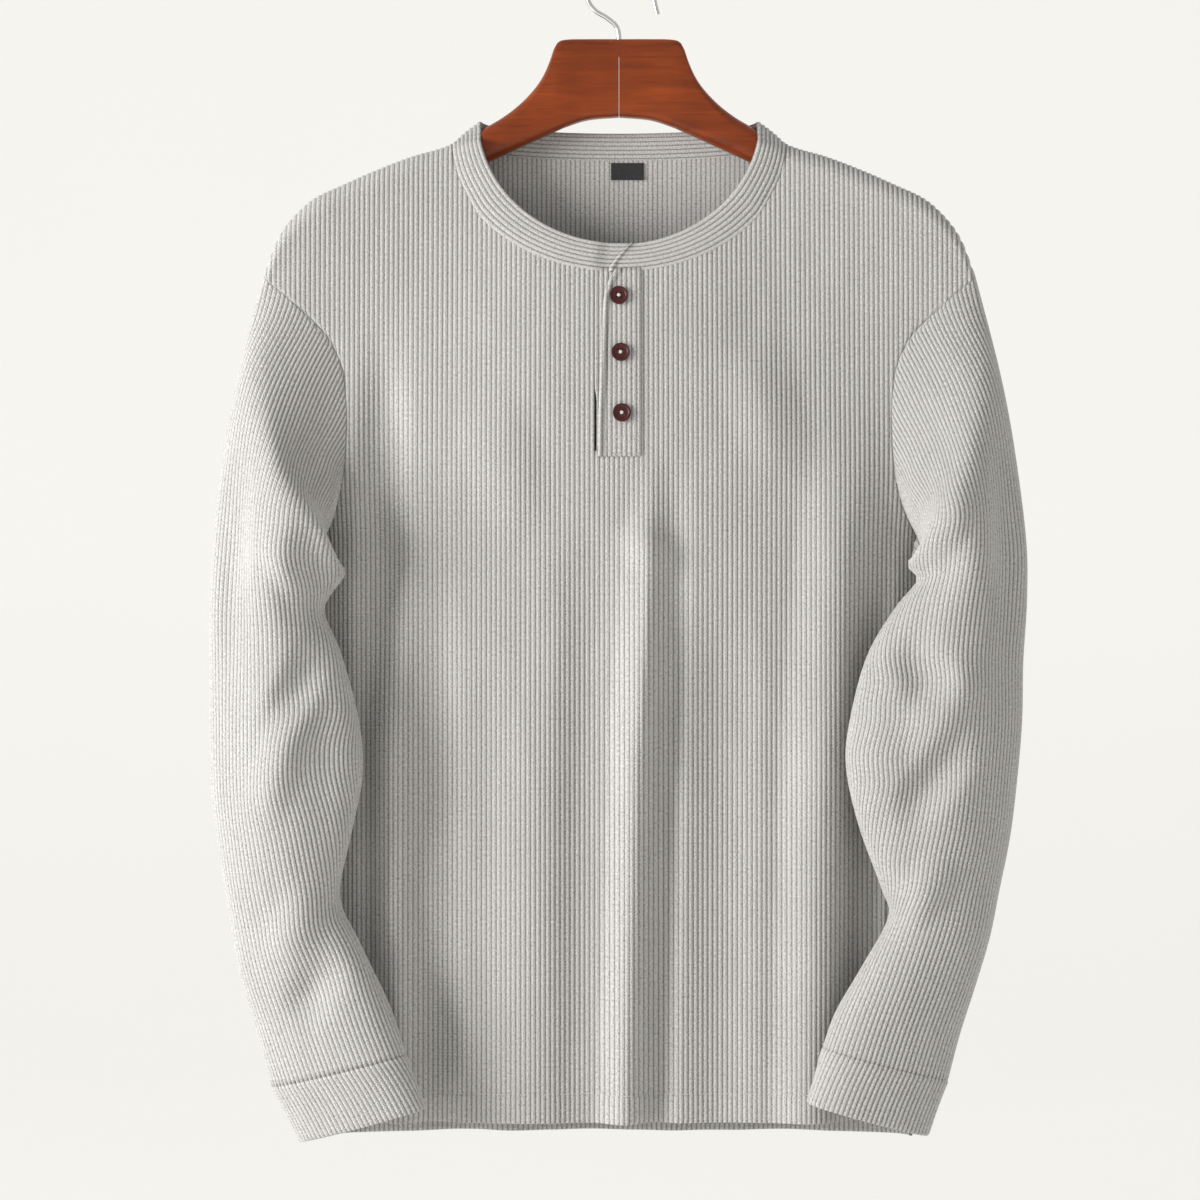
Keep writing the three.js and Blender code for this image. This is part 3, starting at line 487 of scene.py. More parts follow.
# What every piece of knit is made with: the width and height of a rib, and the finish
Knit = namedtuple("Knit", "pitch rib finish")


def rib_columns(reach, pitch):
    """Distance across of every column, in whole ribs to both sides of the middle."""
    count = math.ceil(reach / pitch) * COLUMNS_A_RIB
    return np.arange(-count, count + 1) * pitch / COLUMNS_A_RIB


def rib_offsets(count, height):
    """How far each column stands out: a valley, then two columns on the crest of the rib."""
    return np.where(np.arange(count) % COLUMNS_A_RIB == 0, -VALLEY_DEPTH, height)


def make_mesh(name, points, faces, uvs, material):
    """A closed mesh from points in millimetres. Points that fall together are joined."""
    keys = np.round(points * JOINS_A_MM).astype(np.int64)
    _, first, joined = np.unique(keys, axis=0, return_index=True, return_inverse=True)
    joined = joined.ravel()
    kept_faces, kept_uvs = [], []
    for face in faces:
        corners = [k for n, k in enumerate(face) if joined[k] != joined[face[n - 1]]]
        if len(corners) > 2 and len({joined[k] for k in corners}) == len(corners):
            kept_faces.append([int(joined[k]) for k in corners])
            kept_uvs.extend(corners)
    places = points[first] * MM
    a, b, c = places[np.array([face[:3] for face in kept_faces])].transpose(1, 0, 2)
    volume = (a * np.cross(b, c)).sum()
    mesh = bpy.data.meshes.new(name)
    mesh.from_pydata(places.tolist(), [], kept_faces)
    layer = mesh.uv_layers.new(name="cloth")
    layer.data.foreach_set("uv", (uvs[kept_uvs] * MM).ravel())
    if volume < 0:
        mesh.flip_normals()
    return placed(mesh, material)


def placed(mesh, material):
    """Smooths a mesh, gives it its material and puts it in the scene."""
    mesh.materials.append(material)
    mesh.polygons.foreach_set("use_smooth", [True] * len(mesh.polygons))
    mesh.update()
    piece = bpy.data.objects.new(mesh.name, mesh)
    bpy.context.collection.objects.link(piece)
    return piece


def shell_faces(columns, rows, missing, side_bands):
    """Faces of a wall: outer points column by column, then inner points at every whole rib."""
    ribs = (columns - 1) // COLUMNS_A_RIB

    def outer(i, j):
        return i * rows + j

    def inner(n, j):
        return (columns + n) * rows + j

    def there(n, j):
        return 0 <= n < ribs and 0 <= j < rows - 1 and not missing(n, j)

    faces = []
    for n in range(ribs):
        left, right = n * COLUMNS_A_RIB, (n + 1) * COLUMNS_A_RIB
        for j in range(rows - 1):
            if not there(n, j):
                continue
            for i in range(left, right):
                faces.append((outer(i, j), outer(i + 1, j), outer(i + 1, j + 1), outer(i, j + 1)))
            faces.append((inner(n, j), inner(n, j + 1), inner(n + 1, j + 1), inner(n + 1, j)))
            if not there(n, j - 1):
                rim = [outer(i, j) for i in range(right, left - 1, -1)]
                faces.append((inner(n, j), inner(n + 1, j), *rim))
            if not there(n, j + 1):
                rim = [outer(i, j + 1) for i in range(left, right + 1)]
                faces.append((inner(n + 1, j + 1), inner(n, j + 1), *rim))
            if not there(n - 1, j) and (n > 0 or side_bands(j)):
                faces.append((outer(left, j), outer(left, j + 1), inner(n, j + 1), inner(n, j)))
            if not there(n + 1, j) and (n < ribs - 1 or side_bands(j)):
                band = outer(right, j + 1), outer(right, j), inner(n + 1, j), inner(n + 1, j + 1)
                faces.append(band)
    return faces


def cloth_shell(
    name, outer, inner, across, along, material, missing=lambda n, j: False, side_bands=lambda j: True
):
    """A wall of cloth from grids of outer and inner points, by column then row. Rows for which
    side_bands is false have both side edges on one seam and need no band there."""
    points = np.concatenate([outer.reshape(-1, 3), inner.reshape(-1, 3)])
    uvs = np.stack(np.broadcast_arrays(across[:, None], along), axis=-1)
    uvs = np.concatenate([uvs.reshape(-1, 2), uvs[::COLUMNS_A_RIB].reshape(-1, 2)])
    return make_mesh(name, points, shell_faces(*outer.shape[:2], missing, side_bands), uvs, material)


# Front and back


def panel_rows(side):
    """Heights of the level rows, thick at the hem fold, and shares of the rise above the yoke."""
    fold = hem_z(side) + np.array(HEM_ROWS)
    plain = np.arange(hem_z(side) + 32, YOKE_Z - 3, ROW_STEP)
    t = np.linspace(1, 0, RISING_ROWS)
    return np.concatenate([fold, plain]), 1 - t * (t + 0.04) / 1.04


def armhole_meet(rise):
    """Where each rising row of a panel meets the armhole."""
    low, high = np.full(len(rise), 180.0), np.full(len(rise), TIP_X)
    for _ in range(40):
        middle = (low + high) / 2
        outside = middle > follow(ARMHOLE, YOKE_Z + (shoulder_z(middle) - YOKE_Z) * rise)
        high = np.where(outside, middle, high)
        low = np.where(outside, low, middle)
    return (low + high) / 2


def panel_places(side, pitch):
    """The x, height and distance across of every column and row of a panel."""
    levels, rise = panel_rows(side)
    across = rib_columns(PANEL_REACH, pitch)
    places = []

    def spread_out(half_wide, z, edge):
        xs, arcs = quarter_round(half_wide, float(depth_below(BAND_TOP_Z - z, full_depth(side))))
        return np.sign(across) * np.minimum(np.interp(np.abs(across), arcs, xs), edge)

    for level in levels:
        half_wide = float(section_half(level))
        edge = half_wide if level <= UNDERARM_Z else float(follow(ARMHOLE, level))
        places.append((spread_out(half_wide, level, edge), np.full(len(across), level)))
    for share, edge in zip(rise[1:], armhole_meet(rise)[1:]):
        x = spread_out(YOKE_HALF, YOKE_Z, edge)
        neck = neck_z(np.minimum(np.abs(x), NECK_HALF), side)
        top = np.where(np.abs(x) < NECK_HALF, neck, shoulder_z(x))
        places.append((x, YOKE_Z + (top - YOKE_Z) * share))
    x, z = np.array(places).transpose(1, 2, 0)
    return x, z, across


def panel_shell(name, side, knit):
    """A panel from hem to neck. Only the front is cut for the button opening."""
    x, z, across = panel_places(side, knit.pitch)
    base = body_point(x, z, side)
    normals = body_normal(x, z, side)
    at_side = (np.abs(x) >= section_half(z) - 0.01) & (z <= UNDERARM_Z + 0.1)
    normals[at_side] = np.sign(x[at_side])[:, None] * (1, 0, 0)
    normals[z >= shoulder_z(x) - 0.01, 1] = 0
    normals = unit(normals)
    out = np.repeat(rib_offsets(len(across), knit.rib)[:, None], x.shape[1], axis=1)
    at_edge = np.abs(np.diff(x, axis=0)) < TOUCHING
    out[1:][at_edge] = out[:-1][at_edge] = 0
    height = z - hem_z(side)
    notch = HEM_NOTCH * np.exp(-(((height - HEM_FOLD) / 1.2) ** 2))
    fold = HEM_SWELL * ease((HEM_FOLD + 0.8 - height) / 1.6) - notch
    edge = HEM_EDGE * (1 - ease(height / 2.0))
    outer = base + normals * (out + fold - edge)[..., None]
    inner = base - normals * (CLOTH + 0.3 * (fold - edge > 0))[..., None]
    along = np.array([run_along(column) for column in base])
    middle = (len(across) - 1) // (2 * COLUMNS_A_RIB)
    cut_row = len(panel_rows(side)[0]) - 1

    def slit(n, j):
        return side < 0 and j >= cut_row and SLIT_LEFT_RIB <= n - middle < SLIT_RIGHT_RIB

    return cloth_shell(name, outer, inner[::COLUMNS_A_RIB], across, along, knit.finish, slit)


# Sleeves and cuffs


def armhole_loop(hand):
    """The armhole seam from the shoulder tip down the front and up the back, by turn."""
    z = TIP_Z - (TIP_Z - UNDERARM_Z) * np.linspace(0, 1, 160) ** 1.4
    turn = 2 * math.pi * np.arange(TURNS + 1) / TURNS
    share = np.minimum(turn, 2 * math.pi - turn) / math.pi
    loop = np.zeros((TURNS + 1, 3))
    for side, half in ((-1, turn <= math.pi), (1, turn > math.pi)):
        line = body_point(hand * follow(ARMHOLE, z), z, side)
        line[0] = (hand * TIP_X, ridge_y(TIP_X), TIP_Z)
        line[-1] = (hand * follow(ARMHOLE, UNDERARM_Z), 0, UNDERARM_Z)
        run = run_along(line)
        loop[half] = place_on(line, run, share[half] * run[-1])
    return loop, turn


def flat_ring(size, hand, turn):
    """A flattened loop round a sleeve, from its outer end, inner end and half depth."""
    out_x, out_z, out_y, in_x, in_z, in_y, half = size
    out_end = np.array([hand * out_x, out_y, out_z])
    centre = (out_end + np.array([hand * in_x, in_y, in_z])) / 2
    axis = out_end - centre
    along = axis / np.linalg.norm(axis)
    forward = unit(np.array([0, -1, 0]) + along * along[1])
    cos, sin = (np.sign(v) * np.abs(v) ** (2 / SLEEVE_POWER) for v in (np.cos(turn), np.sin(turn)))
    return centre + np.outer(cos, axis) + half * np.outer(sin, forward)


def smooth_between(controls, steps):
    """Rows between control loops on a smooth curve, with the number of rows to each."""
    rows = []
    last = len(controls) - 1
    for k in range(last):
        p0, p1, p2, p3 = (controls[min(max(0, k + n), last)] for n in (-1, 0, 1, 2))
        for n in range(steps[k]):
            t = n / steps[k]
            bend = (2 * p0 - 5 * p1 + 4 * p2 - p3) * t**2 + (3 * p1 - p0 - 3 * p2 + p3) * t**3
            rows.append(0.5 * (2 * p1 + (p2 - p0) * t + bend))
    rows.append(controls[-1])
    return np.array(rows)


def settled(rows, passes=60, held=14, free=44):
    """Evens out the top of a sleeve down its length, holding the armhole seam."""
    weight = 0.5 * (1 - ease((np.arange(len(rows)) - held) / (free - held)))[1:-1, None, None]
    for _ in range(passes):
        mean = (rows[:-2] + rows[2:]) / 2
        rows = np.concatenate([rows[:1], rows[1:-1] * (1 - weight) + mean * weight, rows[-1:]])
    return rows


def clear_of_body(points, gap, first):
    """Keeps the rows of a sleeve from the first given one in front of the body."""
    x, y, z = points[..., 0], points[..., 1], points[..., 2]
    edge = np.where(z <= UNDERARM_Z, section_half(z), follow(ARMHOLE, np.minimum(z, TIP_Z)))
    near = (np.abs(x) <= edge + gap) & (z <= TIP_Z)
    cleared = points.copy()
    cleared[..., 1] = np.where(near, np.minimum(y, body_y(x, z, -1) - gap), y)
    cleared[:first] = points[:first]
    return cleared


def sleeve_rows(hand, rings, folds, bag):
    """Rows of loops down a sleeve, from the armhole to the cuff seam."""
    loop, turn = armhole_loop(hand)
    controls = [loop] + [flat_ring(size, hand, turn) for size in rings]
    lengths = [np.linalg.norm(b[0] - a[0]) for a, b in zip(controls[1:], controls[2:])]
    steps = [SEAM_ROWS] + [max(SEAM_ROWS, round(length / SLEEVE_STEP)) for length in lengths]
    rows = settled(smooth_between(controls, steps))
    facing = np.repeat(np.maximum(0, np.sin(turn))[None], len(rows), axis=0)
    facing[:SEAM_ROWS] *= (np.arange(SEAM_ROWS) / SEAM_ROWS)[:, None]
    bag_x, bag_z, reach, across, forward = bag
    x, z = rows[..., 0], rows[..., 2]
    away = np.minimum(1, np.hypot(np.abs(x) - bag_x, z - bag_z) / reach)
    share = (1 - away**2) ** 2 * facing
    folded = rows.copy()
    folded[..., 1] -= folds_at(folds, x, z) * facing + forward * share
    folded[..., 0] -= hand * across * share
    return clear_of_body(folded, SLEEVE_CLEAR, SEAM_ROWS + SEAM_HELD)


def loop_normals(rows, hand):
    """Outward directions over rows of closed loops whose last point repeats the first."""
    body = rows[:, :-1]
    around = np.roll(body, -1, axis=1) - np.roll(body, 1, axis=1)
    down = np.gradient(body, axis=0)
    normals = unit(np.cross(around, down)) * hand
    return np.concatenate([normals, normals[:, :1]], axis=1)


def ribbed_tube(name, levels, along, knit, tuck, stands, turns_in, closed):
    """A tube of cloth with its ribs along it, from the points and outward directions of the two
    halves of each level. A half goes from the outer line to the under seam."""
    halves = [[(run_along(points), points, facing) for points, facing in pair] for pair in levels]
    across = rib_columns(max(run[-1] for pair in halves for run, _, _ in pair), knit.pitch)
    out = rib_offsets(len(across), knit.rib)
    outer = np.zeros((len(across), len(levels), 3))
    inner = np.zeros_like(outer)
    for j, pair in enumerate(halves):
        for half, (run, points, facing) in zip((across >= 0, across < 0), pair):
            place = np.abs(across[half])
            base = place_on(points, run, place)
            normal = unit(place_on(facing, run, place))
            lift = np.where(place > run[-1], -tuck, out[half]) + stands[j]
            outer[half, j] = base + normal * lift[:, None]
            inner[half, j] = base - normal * (CLOTH - turns_in[j])
    inner = inner[::COLUMNS_A_RIB]
    return cloth_shell(name, outer, inner, across, along, knit.finish, side_bands=lambda j: not closed(j))


def slice_levels(rows):
    """A level for every point of the sleeve: its height above the elbow, and its ring below it."""
    drop = -rows[..., 2]
    ring = drop.mean(axis=1, keepdims=True)
    share = ease((ring - ELBOW_DROP) / ELBOW_RUN)
    levels = drop * (1 - share) + ring * share
    return np.maximum.accumulate(levels + np.arange(len(rows))[:, None] * 1e-4, axis=0)


def above_seam(line, seam, end):
    """A half line as far as a place given in points, where the armhole seam cuts it."""
    whole, rest = int(end), end - int(end)
    if rest <= TOUCHING:
        return line[: whole + 1]
    cut = seam[whole] * (1 - rest) + seam[min(whole + 1, len(seam) - 1)] * rest
    return np.vstack([line[: whole + 1], cut])


def sleeve_shell(name, rows, hand, knit):
    """A sleeve whose ribs run down its length and end where the armhole seam cuts them."""
    normals = loop_normals(rows, hand)
    field = slice_levels(rows)
    first, under, last = field[0, 0], field[0, TURNS // 2], field[-1].mean()
    shoulder = first + 30 * np.linspace(0, 1, 22) ** 1.5
    upper = np.arange(first + 34, under - 2, SLEEVE_STEP)
    lower = np.arange(under + 5, last - 2, SLEEVE_STEP)
    levels = np.concatenate([shoulder, upper, [under], lower, [last]])
    turn, order = np.arange(TURNS + 1), np.arange(len(rows))
    pairs = []
    for level in levels:
        step = np.array([np.interp(level, field[:, k], order) for k in turn])
        low = np.minimum(step.astype(int), len(rows) - 2)
        part = (step - low)[:, None]
        lines = [grid[low, turn] * (1 - part) + grid[low + 1, turn] * part for grid in (rows, normals)]
        pair = []
        for half in HALVES:
            seam = np.maximum.accumulate(field[0, half])
            end = float(np.interp(level, seam, np.arange(len(half)))) if level < under else TURNS // 2
            edges = (rows[0], normals[0])
            points, facing = (above_seam(a[half], b[half], end) for a, b in zip(lines, edges))
            pair.append((points, unit(facing)))
        pairs.append(pair)
    flat = np.zeros(len(levels))
    return ribbed_tube(name, pairs, -levels, knit, SEAM_TUCK, flat, flat, lambda j: levels[j] >= under)


def cuff_shell(name, seam, hand, end, knit):
    """A cuff from the sleeve's last loop to its open end, proud of the sleeve and turned in there."""
    low = flat_ring(end, hand, 2 * math.pi * np.arange(TURNS + 1) / TURNS)
    places = np.array(CUFF_ROWS)
    rows = []
    for t in places:
        loop = seam + (low - seam) * t
        middle = loop.mean(axis=0)
        rows.append(middle + (loop - middle) * (1 - CUFF_WAIST * math.sin(math.pi * t)))
    rows = np.array(rows)
    loops = zip(rows, loop_normals(rows, hand))
    pairs = [[(points[half], facing[half]) for half in HALVES] for points, facing in loops]
    near_end = np.clip((places - 0.95) / 0.05, 0, 1) ** 2
    near_seam = np.clip((0.05 - places) / 0.05, 0, 1)
    stands = CUFF_STANDS - 1.1 * near_end - near_seam
    turns_in = 0.9 * near_end + 0.4 * near_seam
    along = -run_along(rows[:, 0])
    return ribbed_tube(name, pairs, along, knit, CUFF_TUCK, stands, turns_in, lambda j: True)


# Neckband


def band_path():
    """Places along the neck seam, from the free end, round the back, to the tucked end: x, side,
    and how far each is tucked under."""
    free = math.asin(BAND_FREE_X / NECK_HALF)
    close = [0, 0.004, 0.008, 0.013, 0.019, 0.026]
    turn = np.concatenate([close, np.linspace(0.035, 1, BAND_STEPS)])
    first = NECK_HALF * np.sin(free + turn * (math.pi / 2 - free))
    back = NECK_HALF * np.sin(np.linspace(math.pi / 2, -math.pi / 2, 2 * BAND_STEPS))[1:-1]
    tucked_at = math.asin(BAND_TUCKED_X / NECK_HALF)
    last = NECK_HALF * np.sin(np.linspace(-math.pi / 2, tucked_at, BAND_STEPS + 8))
    side = np.repeat([-1, 1, -1], [len(first), len(back), len(last)])
    tucked = np.zeros(len(side))
    tucked[-len(last) :] = BAND_UNDER * ease((last + 20) / 12)
    return np.concatenate([first, back, last]), side, tucked


def band_lines():
    """Lower and upper edge of the neckband and its outward direction, station by station."""
    x, side, tucked = band_path()
    x = np.clip(x, -NECK_HALF + 0.02, NECK_HALF - 0.02)
    edge = np.zeros((len(x), 3))
    normal = np.zeros((len(x), 3))
    for s in (-1, 1):
        at = side == s
        edge[at] = body_point(x[at], neck_z(x[at], s), s)
        normal[at] = body_normal(x[at], neck_z(x[at], s), s)
    edge[:, 1] += tucked
    ahead = np.gradient(edge, axis=0)
    away = unit(np.cross(normal, ahead)) * 1.4 * SEAM_GAP
    beside = ease((np.abs(x) - BESIDE_NECK + 10) / 12)[:, None]
    wide = np.stack([-0.8 * np.sign(x), 0 * x, 0.6 + 0 * x], axis=-1) * BESIDE_GAP
    low = edge + away * (1 - beside) + wide * beside
    top_x = BAND_HALF * np.clip(low[:, 0] / NECK_HALF, -1, 1)
    cosine = np.sqrt(np.maximum(0, 1 - (top_x / BAND_HALF) ** 2))
    drop = np.where(side < 0, BAND_FRONT_DROP, BAND_BACK_DROP)
    lean = np.where(side < 0, BAND_LEAN * cosine**2 - BESIDE_FORWARD * (1 - cosine**2), 0)
    top = np.stack([top_x, low[:, 1] + lean, BAND_TOP_Z - drop * cosine], axis=-1)
    kernel = np.ones(9) / 9
    padded = np.pad(normal, ((4, 4), (0, 0)), mode="edge")
    normal = unit(np.stack([np.convolve(padded[:, a], kernel, "valid") for a in range(3)], axis=-1))
    return low, top, normal


def rim_at(distance):
    """Share of the rolled rim of a turned edge, at a distance in from it."""
    return np.sin(np.pi * np.clip(distance / RIM_WIDE, 0, 1)) ** 0.7


def crease_at(distance):
    """Share of the crease beside the rolled rim."""
    return np.exp(-(((distance - RIM_WIDE - 0.4) / 0.9) ** 2))


def band_shell(name, knit):
    """The band round the neck, its ribs along it and its free end rolled into a rim."""
    low, top, normal = band_lines()
    count = BAND_RIBS * COLUMNS_A_RIB + 1
    share = np.linspace(-BAND_BELOW, 1, count)
    run = run_along(low)
    rise = np.clip(share, 0, 1)[:, None, None] ** 1.25
    free_end = np.exp(-run / FREE_LEAN_RUN)[None, :, None] * np.array([BAND_FREE_LEAN, 0, 0]) * rise
    grid = low[None] + (top - low)[None] * share[:, None, None] + free_end
    around = unit(np.gradient(low, axis=0))
    facing = unit(np.cross(around, unit(top - low)))
    facing = unit(facing * np.sign((facing * normal).sum(-1, keepdims=True)))
    out = rib_offsets(count, knit.rib)
    out[0] = out[-1] = -BAND_EDGE_IN
    across_band = np.clip((share + BAND_BELOW) / (1 + BAND_BELOW), 0, 1)
    puff = BAND_PUFF * np.sin(np.pi * across_band) ** 0.7
    lift = (out + puff + 0.25)[:, None] * (1 - RIM_SMOOTHS * rim_at(run)) + RIM_HIGH * rim_at(run)
    outer = grid + facing * (lift - CREASE_DEEP * crease_at(run))[..., None]
    inner = grid[::COLUMNS_A_RIB] - facing * (CLOTH - 0.2)
    inner[0] = grid[0] - facing * (CLOTH - 1.0)
    inner[-1] = grid[-1] - facing * (CLOTH - 0.5)
    across = np.arange(count) * BAND_PITCH / COLUMNS_A_RIB
    return cloth_shell(name, outer, inner, across, run, knit.finish)


# Button opening


def strip_shell(name, left_at, right, lift, turned, rim_high, knit):
    """An upright strip laid on the front, its ribs upright, its right edge sewn down and its left
    edge rolled into a rim of the given height."""
    foot = PLACKET_BOTTOM_Z + np.array([0, 0.6, 2, 5, 9, 11.8, 13, 14.2, 17])
    heights = np.concatenate([foot, np.linspace(-331, PLACKET_TOP_Z, 28)])
    left = left_at(heights)
    count = math.ceil((right - left.min()) / knit.pitch) * COLUMNS_A_RIB + 1
    across = -np.arange(count)[::-1] * knit.pitch / COLUMNS_A_RIB
    x = np.clip(right + across[:, None], left, right)
    share = (heights - PLACKET_BOTTOM_Z) / (PLACKET_TOP_Z - PLACKET_BOTTOM_Z)
    z = PLACKET_BOTTOM_Z + (neck_z(x, -1) + 0.8 - PLACKET_BOTTOM_Z) * share
    base = body_point(x, z, -1)
    normals = body_normal(x, z, -1)
    at_edge = (x <= left + TOUCHING) | (x >= right - TOUCHING)
    out = np.where(at_edge, 0, rib_offsets(count, knit.rib)[:, None])
    if rim_high:
        rim = rim_at(x - left)
        out = out * (1 - RIM_SMOOTHS * rim) + rim * rim_high - CREASE_DEEP * crease_at(x - left)
    out = out - turned * (1 - ease((right - x) / 2.2)) - 0.5 * (1 - ease((z - PLACKET_BOTTOM_Z) / 2))
    for place in PLACKET_STITCHED:
        out -= 0.3 * np.exp(-(((z - place) / 1.1) ** 2))
    outer = base + normals * (out + lift)[..., None]
    inner = (base + normals * (lift - CLOTH))[::COLUMNS_A_RIB]
    return cloth_shell(name, outer, inner, across, z, knit.finish)


def label_shell(name, finish):
    """A bare tab inside the back of the neck, its corners a little lifted."""
    x = TAB_MIDDLE + np.linspace(-TAB_HALF, TAB_HALF, 8 * COLUMNS_A_RIB + 1)
    grid_x, grid_z = np.meshgrid(x, np.linspace(-156.4, -144.6, 13), indexing="ij")
    base = body_point(grid_x, grid_z, 1)
    normals = body_normal(grid_x, grid_z, 1)
    curl = TAB_CURL * ease((grid_z + 150) / -6.4) * ((grid_x - TAB_MIDDLE) / TAB_HALF) ** 2
    outer = base - normals * (CLOTH + SEAM_GAP + TAB_THICK + curl)[..., None]
    inner = base - normals * (CLOTH + SEAM_GAP)
    return cloth_shell(name, outer, inner[::COLUMNS_A_RIB], x, grid_z, finish)


# Stitches


def stitches(name, lines, material, length=1.9, gap=0.9, radius=0.26):
    """Short thread dashes along lines of points, each with its outward direction."""
    points, faces = [], []
    for line, facing in lines:
        run = run_along(line)
        for start in np.arange(0.5, run[-1] - length, length + gap):
            a, b = place_on(line, run, np.array([start, start + length]))
            up = unit(place_on(facing, run, start))
            beside = np.cross(unit(b - a), up)
            first = len(points)
            points.append(a - up * radius * 0.6)
            for t in (0.2, 0.8):
                for turn in range(4):
                    angle = math.pi * turn / 2
                    spoke = beside * math.cos(angle) + up * math.sin(angle)
                    points.append(a + (b - a) * t + radius * spoke)
            points.append(b - up * radius * 0.6)
            for turn in range(4):
                k, n = first + 1 + turn, first + 1 + (turn + 1) % 4
                faces += [(first, n, k), (k, n, n + 4, k + 4), (first + 9, k + 4, n + 4)]
    points = np.array(points)
    return make_mesh(name, points, faces, points[:, [0, 2]], material)


def line_on_body(x, z, side, lift):
    """A line of points on the cloth, lifted off it, with their outward directions."""
    normal = body_normal(x, z, side)
    return body_point(x, z, side) + normal * lift, normal


# Wood, wire and buttons


def clear_selection():
    if bpy.context.object and bpy.context.object.mode != "OBJECT":
        bpy.ops.object.mode_set(mode="OBJECT")
    bpy.ops.object.select_all(action="DESELECT")


def select_only(piece):
    clear_selection()
    piece.select_set(True)
    bpy.context.view_layer.objects.active = piece


def smooth_by_angle(piece, degrees):
    select_only(piece)
    bpy.ops.object.shade_smooth_by_angle(angle=math.radians(degrees))


def apply_modifier(piece, kind, **settings):
    select_only(piece)
    modifier = piece.modifiers.new(kind.title(), kind)
    for key, value in settings.items():
        setattr(modifier, key, value)
    bpy.ops.object.modifier_apply(modifier=modifier.name)


def hanger_half(name, hand, material, steps=7):
    """One half of the wooden hanger, lofted through its stations, with a rounded tip."""
    stations = np.array(HANGER_STATIONS)
    x = np.concatenate([np.arange(0.15, 216, 2.4), [217, 218, 219, 219.7, 220]])
    top, bottom, half, corner = (follow(stations[:, [0, k]], x) for k in (1, 2, 3, 4))
    loops = []
    for k, place in enumerate(x):
        radius = min(corner[k], half[k], (top[k] - bottom[k]) / 2)
        loop = []
        for quarter, (side_y, side_z) in enumerate([(1, 1), (-1, 1), (-1, -1), (1, -1)]):
            y = side_y * (half[k] - radius) + ridge_y(place)
            z = top[k] - radius if side_z > 0 else bottom[k] + radius
            for step in range(steps + 1):
                angle = math.pi / 2 * (quarter + step / steps)
                loop.append((hand * place, y + radius * math.cos(angle), z + radius * math.sin(angle)))
        loops.append(loop)
    tip = np.array(loops[-1])
    centre = tip.mean(axis=0)
    for shrink, reach in ((0.8, 1.2), (0.5, 2.0), (0.2, 2.4)):
        loops.append(centre + (tip - centre) * shrink + (hand * reach, 0, 0))
    count, last = len(loops[0]), len(loops) - 1
    points = np.concatenate(loops)
    faces = []
    for start in range(0, last * count, count):
        for k in range(count):
            n = (k + 1) % count
            faces.append((start + k, start + count + k, start + count + n, start + n))
    faces += [tuple(range(count)), tuple(reversed(range(last * count, len(points))))]
    piece = make_mesh(name, points, faces, points[:, [0, 2]], material)
    smooth_by_angle(piece, 35)
    return piece


def hook_wire(name, material):
    """The wire hook: a stem, an open loop and a free tip, bent from one round wire."""
    centre_z = -(HOOK_RADIUS - WIRE_RADIUS)
    path = [(0, STEM_BOTTOM_Z), (0, -64), (0, -58), (-1.6, -51)]
    for degrees in (250, 225, *range(200, -1, -20)):
        angle = math.radians(degrees)
        path.append((HOOK_RADIUS * math.cos(angle), centre_z + HOOK_RADIUS * math.sin(angle)))
    path += [(HOOK_RADIUS + 0.6, centre_z - 9), (HOOK_RADIUS + 3, centre_z - 20)]
    curve = bpy.data.curves.new(name, "CURVE")
    curve.dimensions = "3D"
    curve.bevel_depth = WIRE_RADIUS * MM
    curve.bevel_resolution = 6
    curve.resolution_u = 6
    curve.use_fill_caps = True
    spline = curve.splines.new("BEZIER")
    spline.bezier_points.add(len(path) - 1)
    for point, (x, z) in zip(spline.bezier_points, path):
        point.co = (x * MM, 0, z * MM)
        point.handle_left_type = point.handle_right_type = "AUTO"
    wire = bpy.data.objects.new(name, curve)
    bpy.context.collection.objects.link(wire)
    select_only(wire)
    bpy.ops.object.convert(target="MESH")
    wire = bpy.context.object
    wire.data.materials.clear()
    wire.data.materials.append(material)
    smooth_by_angle(wire, 50)
    return wire


